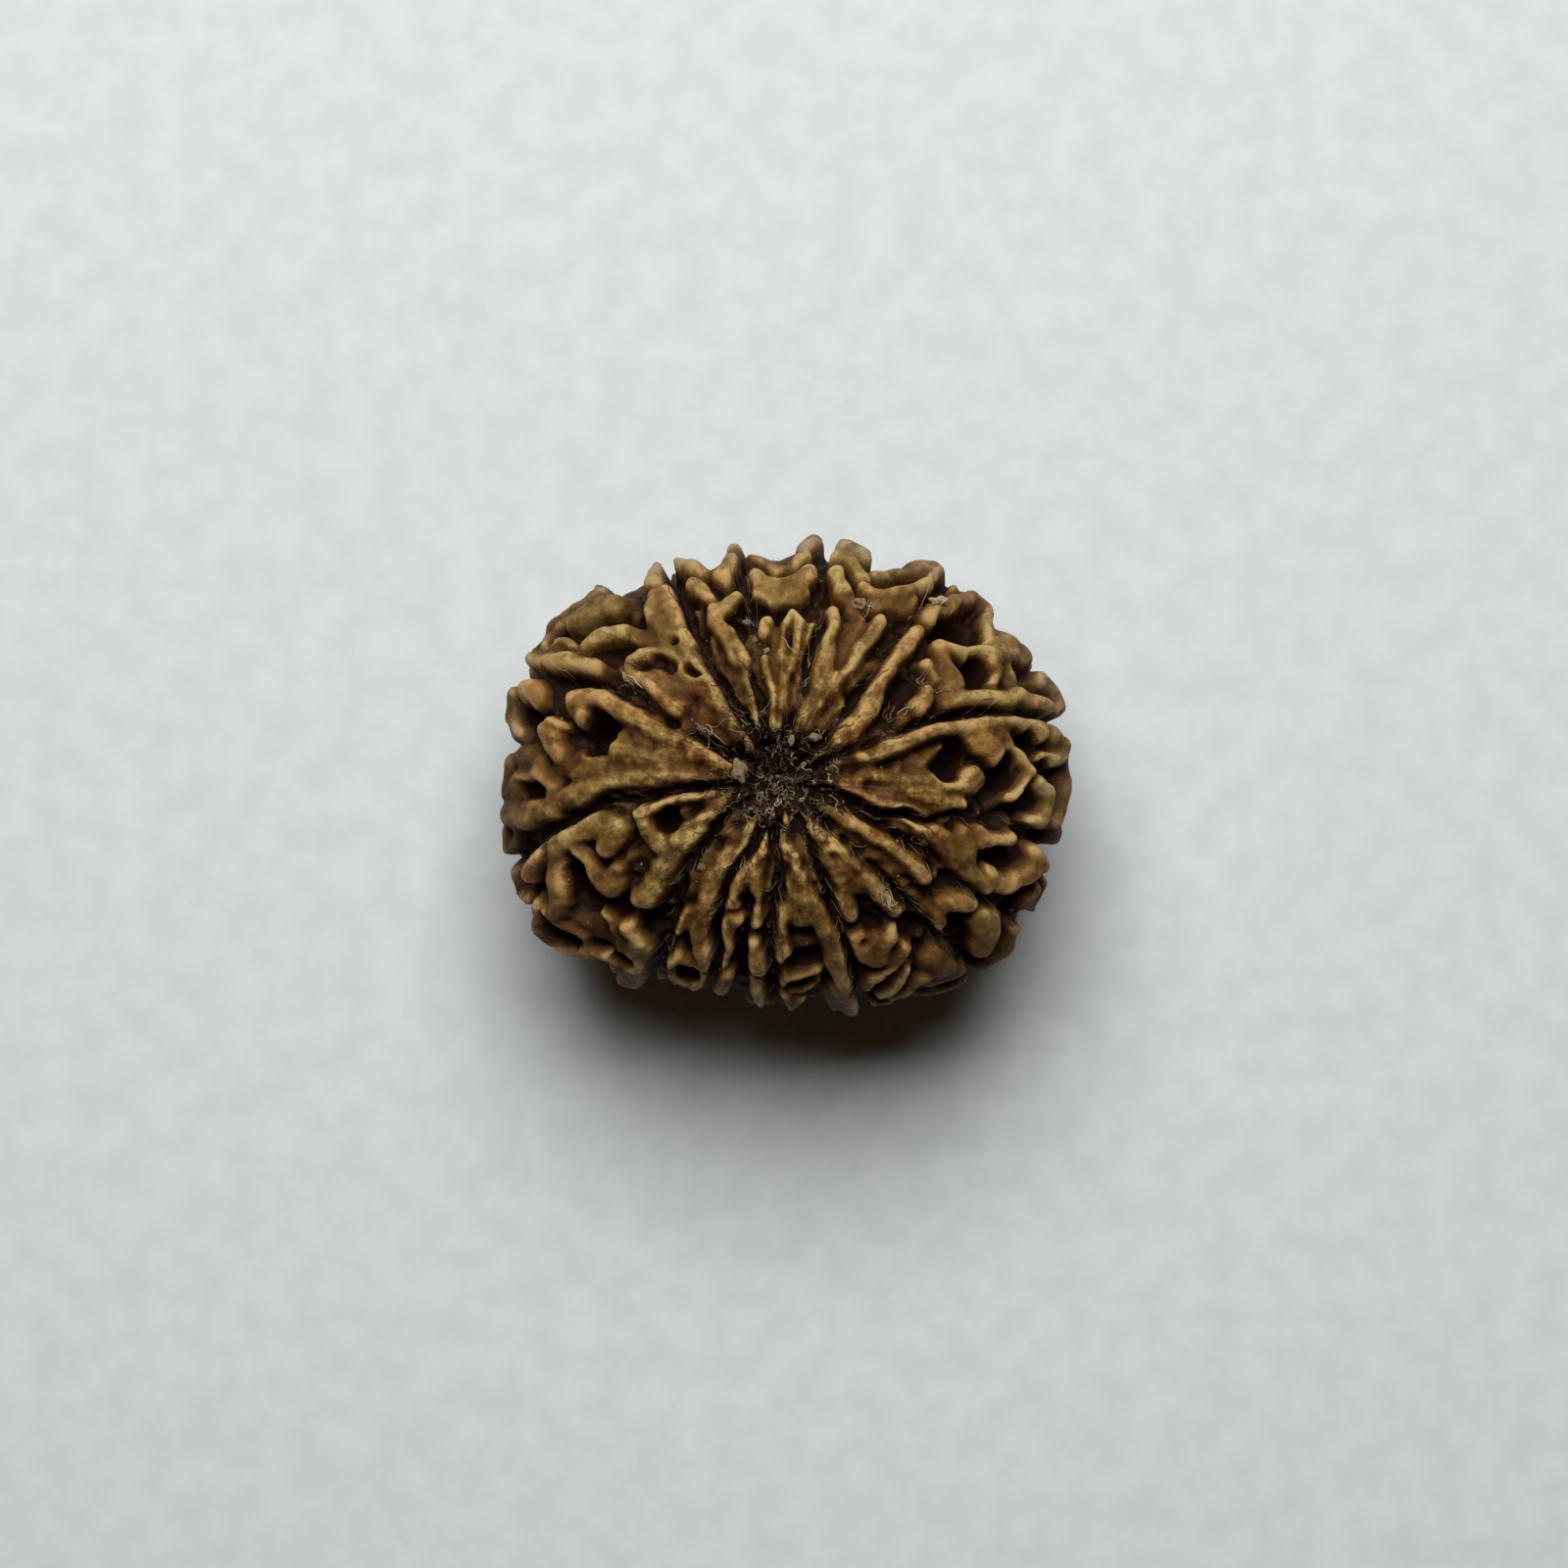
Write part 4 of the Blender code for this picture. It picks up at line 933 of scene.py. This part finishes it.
def add_stuck(name, material, points, faces, paleness):
    """An object stuck to the stone, of many alike things with a paleness each."""
    mesh = mesh_from_arrays(name, points * shell_scale + shell_shift, faces)
    add_attribute(mesh, "paleness", np.repeat(paleness, len(points) // len(paleness)))
    made = add_object(name, mesh, material)
    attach(made, "root")


def add_threads(name, material, draw, places, unit, ends, darkening, seed):
    """Threads from places of azimuth, colatitude and heading, with all else drawn between its ends.

    The length is drawn in the given unit, and the paleness is raised to the power of the darkening.
    """
    length, curl, lift, thickness, paleness = [draw.uniform(*pair, len(places[0])) for pair in ends]
    paths, normals = thread_paths(*places, length * unit, curl, lift * MM, seed)
    add_stuck(name, material, *tubes(paths, normals, thickness * MM), paleness ** darkening)


def pit_threads(material):
    """Curly threads, strewn evenly over the pit by a square root of their share of its radius."""
    draw = np.random.default_rng(31)
    azimuth = draw.uniform(0.0, 360.0, PIT_THREADS)
    colatitude = PIT_THREADS_REACH * np.sqrt(draw.uniform(0.0, 1.0, PIT_THREADS))
    places = (azimuth, colatitude, draw.uniform(0.0, 360.0, PIT_THREADS))
    add_threads("pit_lint", material, draw, places, MM, PIT_THREAD_ENDS, MOSTLY_DARK, seed=32)


def groove_threads(material):
    """Short threads that start at random places of the grooves and run outward along them."""
    draw = np.random.default_rng(41)
    chosen = draw.integers(0, len(GROOVES), GROOVE_THREADS)
    inner, outer = GROOVE_THREADS_REACH
    share = draw.uniform(0.0, 1.0, GROOVE_THREADS) ** GROOVE_THREADS_CROWDING
    colatitude = inner + (outer - inner) * share
    azimuth = np.empty(GROOVE_THREADS)
    for number, route in enumerate(GROOVES):
        azimuths, colatitudes = np.array(route, dtype=float).T
        azimuth[chosen == number] = np.interp(colatitude[chosen == number], colatitudes, azimuths)
    stray = draw.normal(0.0, GROOVE_THREADS_STRAY, GROOVE_THREADS)
    azimuth += stray * np.minimum(STRAY_COLATITUDE / colatitude, MOST_STRAY)
    heading = azimuth + draw.normal(0.0, GROOVE_THREADS_SPREAD, GROOVE_THREADS)
    places = (azimuth, colatitude, heading)
    add_threads("groove_lint", material, draw, places, MM, GROOVE_THREAD_ENDS, MOSTLY_DARK, seed=42)


def tuft_threads(material):
    """Pale threads in small tufts, each fanned out round the tuft's heading."""
    draw = np.random.default_rng(51)
    tuft = np.repeat(np.array(TUFTS, dtype=float), [row[3] for row in TUFTS], axis=0)
    spreads = (TUFT_WIDTH, TUFT_WIDTH, TUFT_SPREAD)
    places = [tuft[:, part] + draw.normal(0.0, spread, len(tuft)) for part, spread in enumerate(spreads)]
    add_threads("pale_tufts", material, draw, places, tuft[:, 4] * MM, TUFT_THREAD_ENDS, 1.0, seed=52)


dry_threads = thread_material()
pit_threads(dry_threads)
groove_threads(dry_threads)
tuft_threads(dry_threads)

# The crumbs and the dust: small lumps of dried pith that stick to the shell.  Pale ones sit at the edge of
# the pit and over a groove, grey ones lie in hollows, and fine specks are strewn over all the low places.

# Azimuth, colatitude, how high it lies and its three half widths, all in millimetres, and its paleness
CRUMBS = [
    (167, 8.5, 0.95, 0.38, 0.52, 0.24, 0.46), (67, 51, 0.05, 0.34, 0.28, 0.24, 0.45),
    (49.5, 61, 0.10, 0.42, 0.20, 0.16, 0.70), (53, 12, 0.55, 0.28, 0.20, 0.16, 0.42),
    (76, 10, 0.75, 0.14, 0.28, 0.14, 0.42), (228, 27, 0.00, 0.26, 0.22, 0.16, 0.22),
    (219, 46, 0.00, 0.22, 0.18, 0.18, 0.24), (95, 47, 0.00, 0.18, 0.14, 0.14, 0.35),
    (103, 47, 0.00, 0.20, 0.13, 0.14, 0.55), (101, 43, 0.00, 0.12, 0.17, 0.12, 0.50),
    (101, 38, 0.05, 0.16, 0.12, 0.12, 0.45), (97, 35, 0.05, 0.20, 0.11, 0.12, 0.60),
]
CRUMB_CELLS = 10
CRUMB_ROUGHNESS = (0.16, 1.1)      # its height and wavelength, as shares of the radius
SPECKS = 200
SPECKS_TRIED = 1200                # places drawn for them, of which the first low ones are kept
SPECK_CELLS = 4
SPECK_COLATITUDES = (10.0, 72.0)
SPECK_HALF_WIDTHS = (0.03 * MM, 0.09 * MM)
SPECK_PALEST = 0.5
SPECK_DARKENING = 1.6              # the power that their paleness is raised to
BALLS_APART = 10.0                 # how far apart the waves are read for two balls
SPECKS_BELOW = 0.65 * MM           # specks lie only where the shell is at least this low


def lumps(azimuth, colatitude, lift, half_widths, cells):
    """Uneven balls lying on the shell, each pulled to its own three half widths.

    A ball's corners are moved in and out by a field of waves, read at another place for each ball.
    """
    around, down, faces = ball_of_patches(cells)
    turn, lean = np.radians(around), np.radians(down)
    ball = np.stack([np.cos(turn) * np.sin(lean), np.sin(turn) * np.sin(lean), np.cos(lean)], axis=1)
    number = np.arange(len(azimuth))[:, None, None]
    rough = uneven((ball + BALLS_APART * number).reshape(-1, 3), CRUMB_ROUGHNESS, seed=60)
    places, normals = skin(azimuth, colatitude)
    level = relief(azimuth, colatitude, places) + lift
    middles = places + normals * level[:, None]
    reach = 1.0 + rough.reshape(len(azimuth), -1, 1)
    points = middles[:, None] + ball * reach * half_widths[:, None]
    return points.reshape(-1, 3), (faces + len(ball) * number).reshape(-1, 4)


def strewn_specks(material):
    """Fine specks at random places, of which the first low ones are kept."""
    draw = np.random.default_rng(71)
    azimuth = draw.uniform(0.0, 360.0, SPECKS_TRIED)
    colatitude = draw.uniform(*SPECK_COLATITUDES, SPECKS_TRIED)
    low = relief(azimuth, colatitude, skin(azimuth, colatitude)[0]) < -SPECKS_BELOW
    azimuth = azimuth[low][:SPECKS]
    colatitude = colatitude[low][:SPECKS]
    half_widths = draw.uniform(*SPECK_HALF_WIDTHS, (len(azimuth), 3))
    paleness = SPECK_PALEST * draw.uniform(0.0, 1.0, len(azimuth)) ** SPECK_DARKENING
    points, faces = lumps(azimuth, colatitude, np.zeros(len(azimuth)), half_widths, SPECK_CELLS)
    add_stuck("specks", material, points, faces, paleness)


crumbs = np.array(CRUMBS).T
points, faces = lumps(*crumbs[:2], crumbs[2] * MM, crumbs[3:6].T * MM, CRUMB_CELLS)
add_stuck("crumbs", dry_threads, points, faces, crumbs[6])
strewn_specks(dry_threads)

# The floor: a plain pale matt sheet, cool grey, with a grain too fine to see the single grains.
# It is no part of the stone.

FLOOR_SIZE = 3.0
FLOOR_ROUGHNESS = 0.9
# Its mottling: size, detail, colours by the noise, and the roughness of the noise
FLOOR_GRAIN = (2.0 * MM, 4.0, [(0.3, (0.66, 0.70, 0.70)), (0.7, (0.72, 0.76, 0.755))], 0.5)


def floor_material():
    """Pale cool grey with a faint mottling."""
    material, nodes, link, shader = new_material("pale_sheet")
    places = nodes.new("ShaderNodeTexCoord").outputs["Object"]
    link(noise_colours(nodes, link, places, *FLOOR_GRAIN), shader.inputs["Base Color"])
    shader.inputs["Roughness"].default_value = FLOOR_ROUGHNESS
    return material


half = 0.5 * FLOOR_SIZE
corners = np.array([(-half, -half, 0.0), (half, -half, 0.0), (half, half, 0.0), (-half, half, 0.0)])
floor = add_object("floor", mesh_from_arrays("floor", corners, np.array([[0, 1, 2, 3]])), floor_material())

# The light: a wide soft window above and behind the stone, which leaves a soft dark shadow in front,
# and a dim, even and warm sky.

WINDOW_PLACE = Vector((-0.013, 0.173, 0.305))
WINDOW_WIDTH = 0.26
WINDOW_HEIGHT = 0.24
WINDOW_POWER = 1.50
SKY_COLOUR = (1.0, 0.66, 0.40)
SKY_STRENGTH = 0.018

window_light = bpy.data.lights.new("window", "AREA")
window_light.shape = "RECTANGLE"
window_light.size = WINDOW_WIDTH
window_light.size_y = WINDOW_HEIGHT
window_light.energy = WINDOW_POWER
window = bpy.data.objects.new("window", window_light)
window.location = WINDOW_PLACE
window.visible_camera = False
window.rotation_euler = (-WINDOW_PLACE).to_track_quat("-Z", "Y").to_euler()
bpy.context.scene.collection.objects.link(window)
sky = bpy.data.worlds.new("sky")
sky.use_nodes = True
sky.node_tree.nodes["Background"].inputs["Color"].default_value = (*SKY_COLOUR, 1.0)
sky.node_tree.nodes["Background"].inputs["Strength"].default_value = SKY_STRENGTH
bpy.context.scene.world = sky
bpy.context.scene.view_settings.view_transform = "Standard"

# The camera: straight over the stone but for one degree, and far enough away for a weak perspective.  The
# stone takes up as much of the frame as in the photo and lies a little above its middle.

PHOTO_WIDTH = 1600
STONE_WIDTH_IN_PHOTO = 583
STONE_MIDDLE_IN_PHOTO = (802, 791)
CAMERA_DISTANCE = 0.8
CAMERA_ELEVATION = np.radians(89.0)
SENSOR = 36.0

pixel = LENGTH / STONE_WIDTH_IN_PHOTO
aim = Vector(((0.5 * PHOTO_WIDTH - STONE_MIDDLE_IN_PHOTO[0]) * pixel,
              (STONE_MIDDLE_IN_PHOTO[1] - 0.5 * PHOTO_WIDTH) * pixel, 0.5 * HEIGHT))
camera_data = bpy.data.cameras.new("camera")
camera_data.sensor_width = SENSOR
camera_data.lens = SENSOR * CAMERA_DISTANCE / (PHOTO_WIDTH * pixel)
camera = bpy.data.objects.new("camera", camera_data)
back = Vector((0.0, -np.cos(CAMERA_ELEVATION), np.sin(CAMERA_ELEVATION)))
camera.location = aim + CAMERA_DISTANCE * back
camera.rotation_euler = (0.5 * np.pi - CAMERA_ELEVATION, 0.0, 0.0)
bpy.context.scene.collection.objects.link(camera)
bpy.context.scene.camera = camera
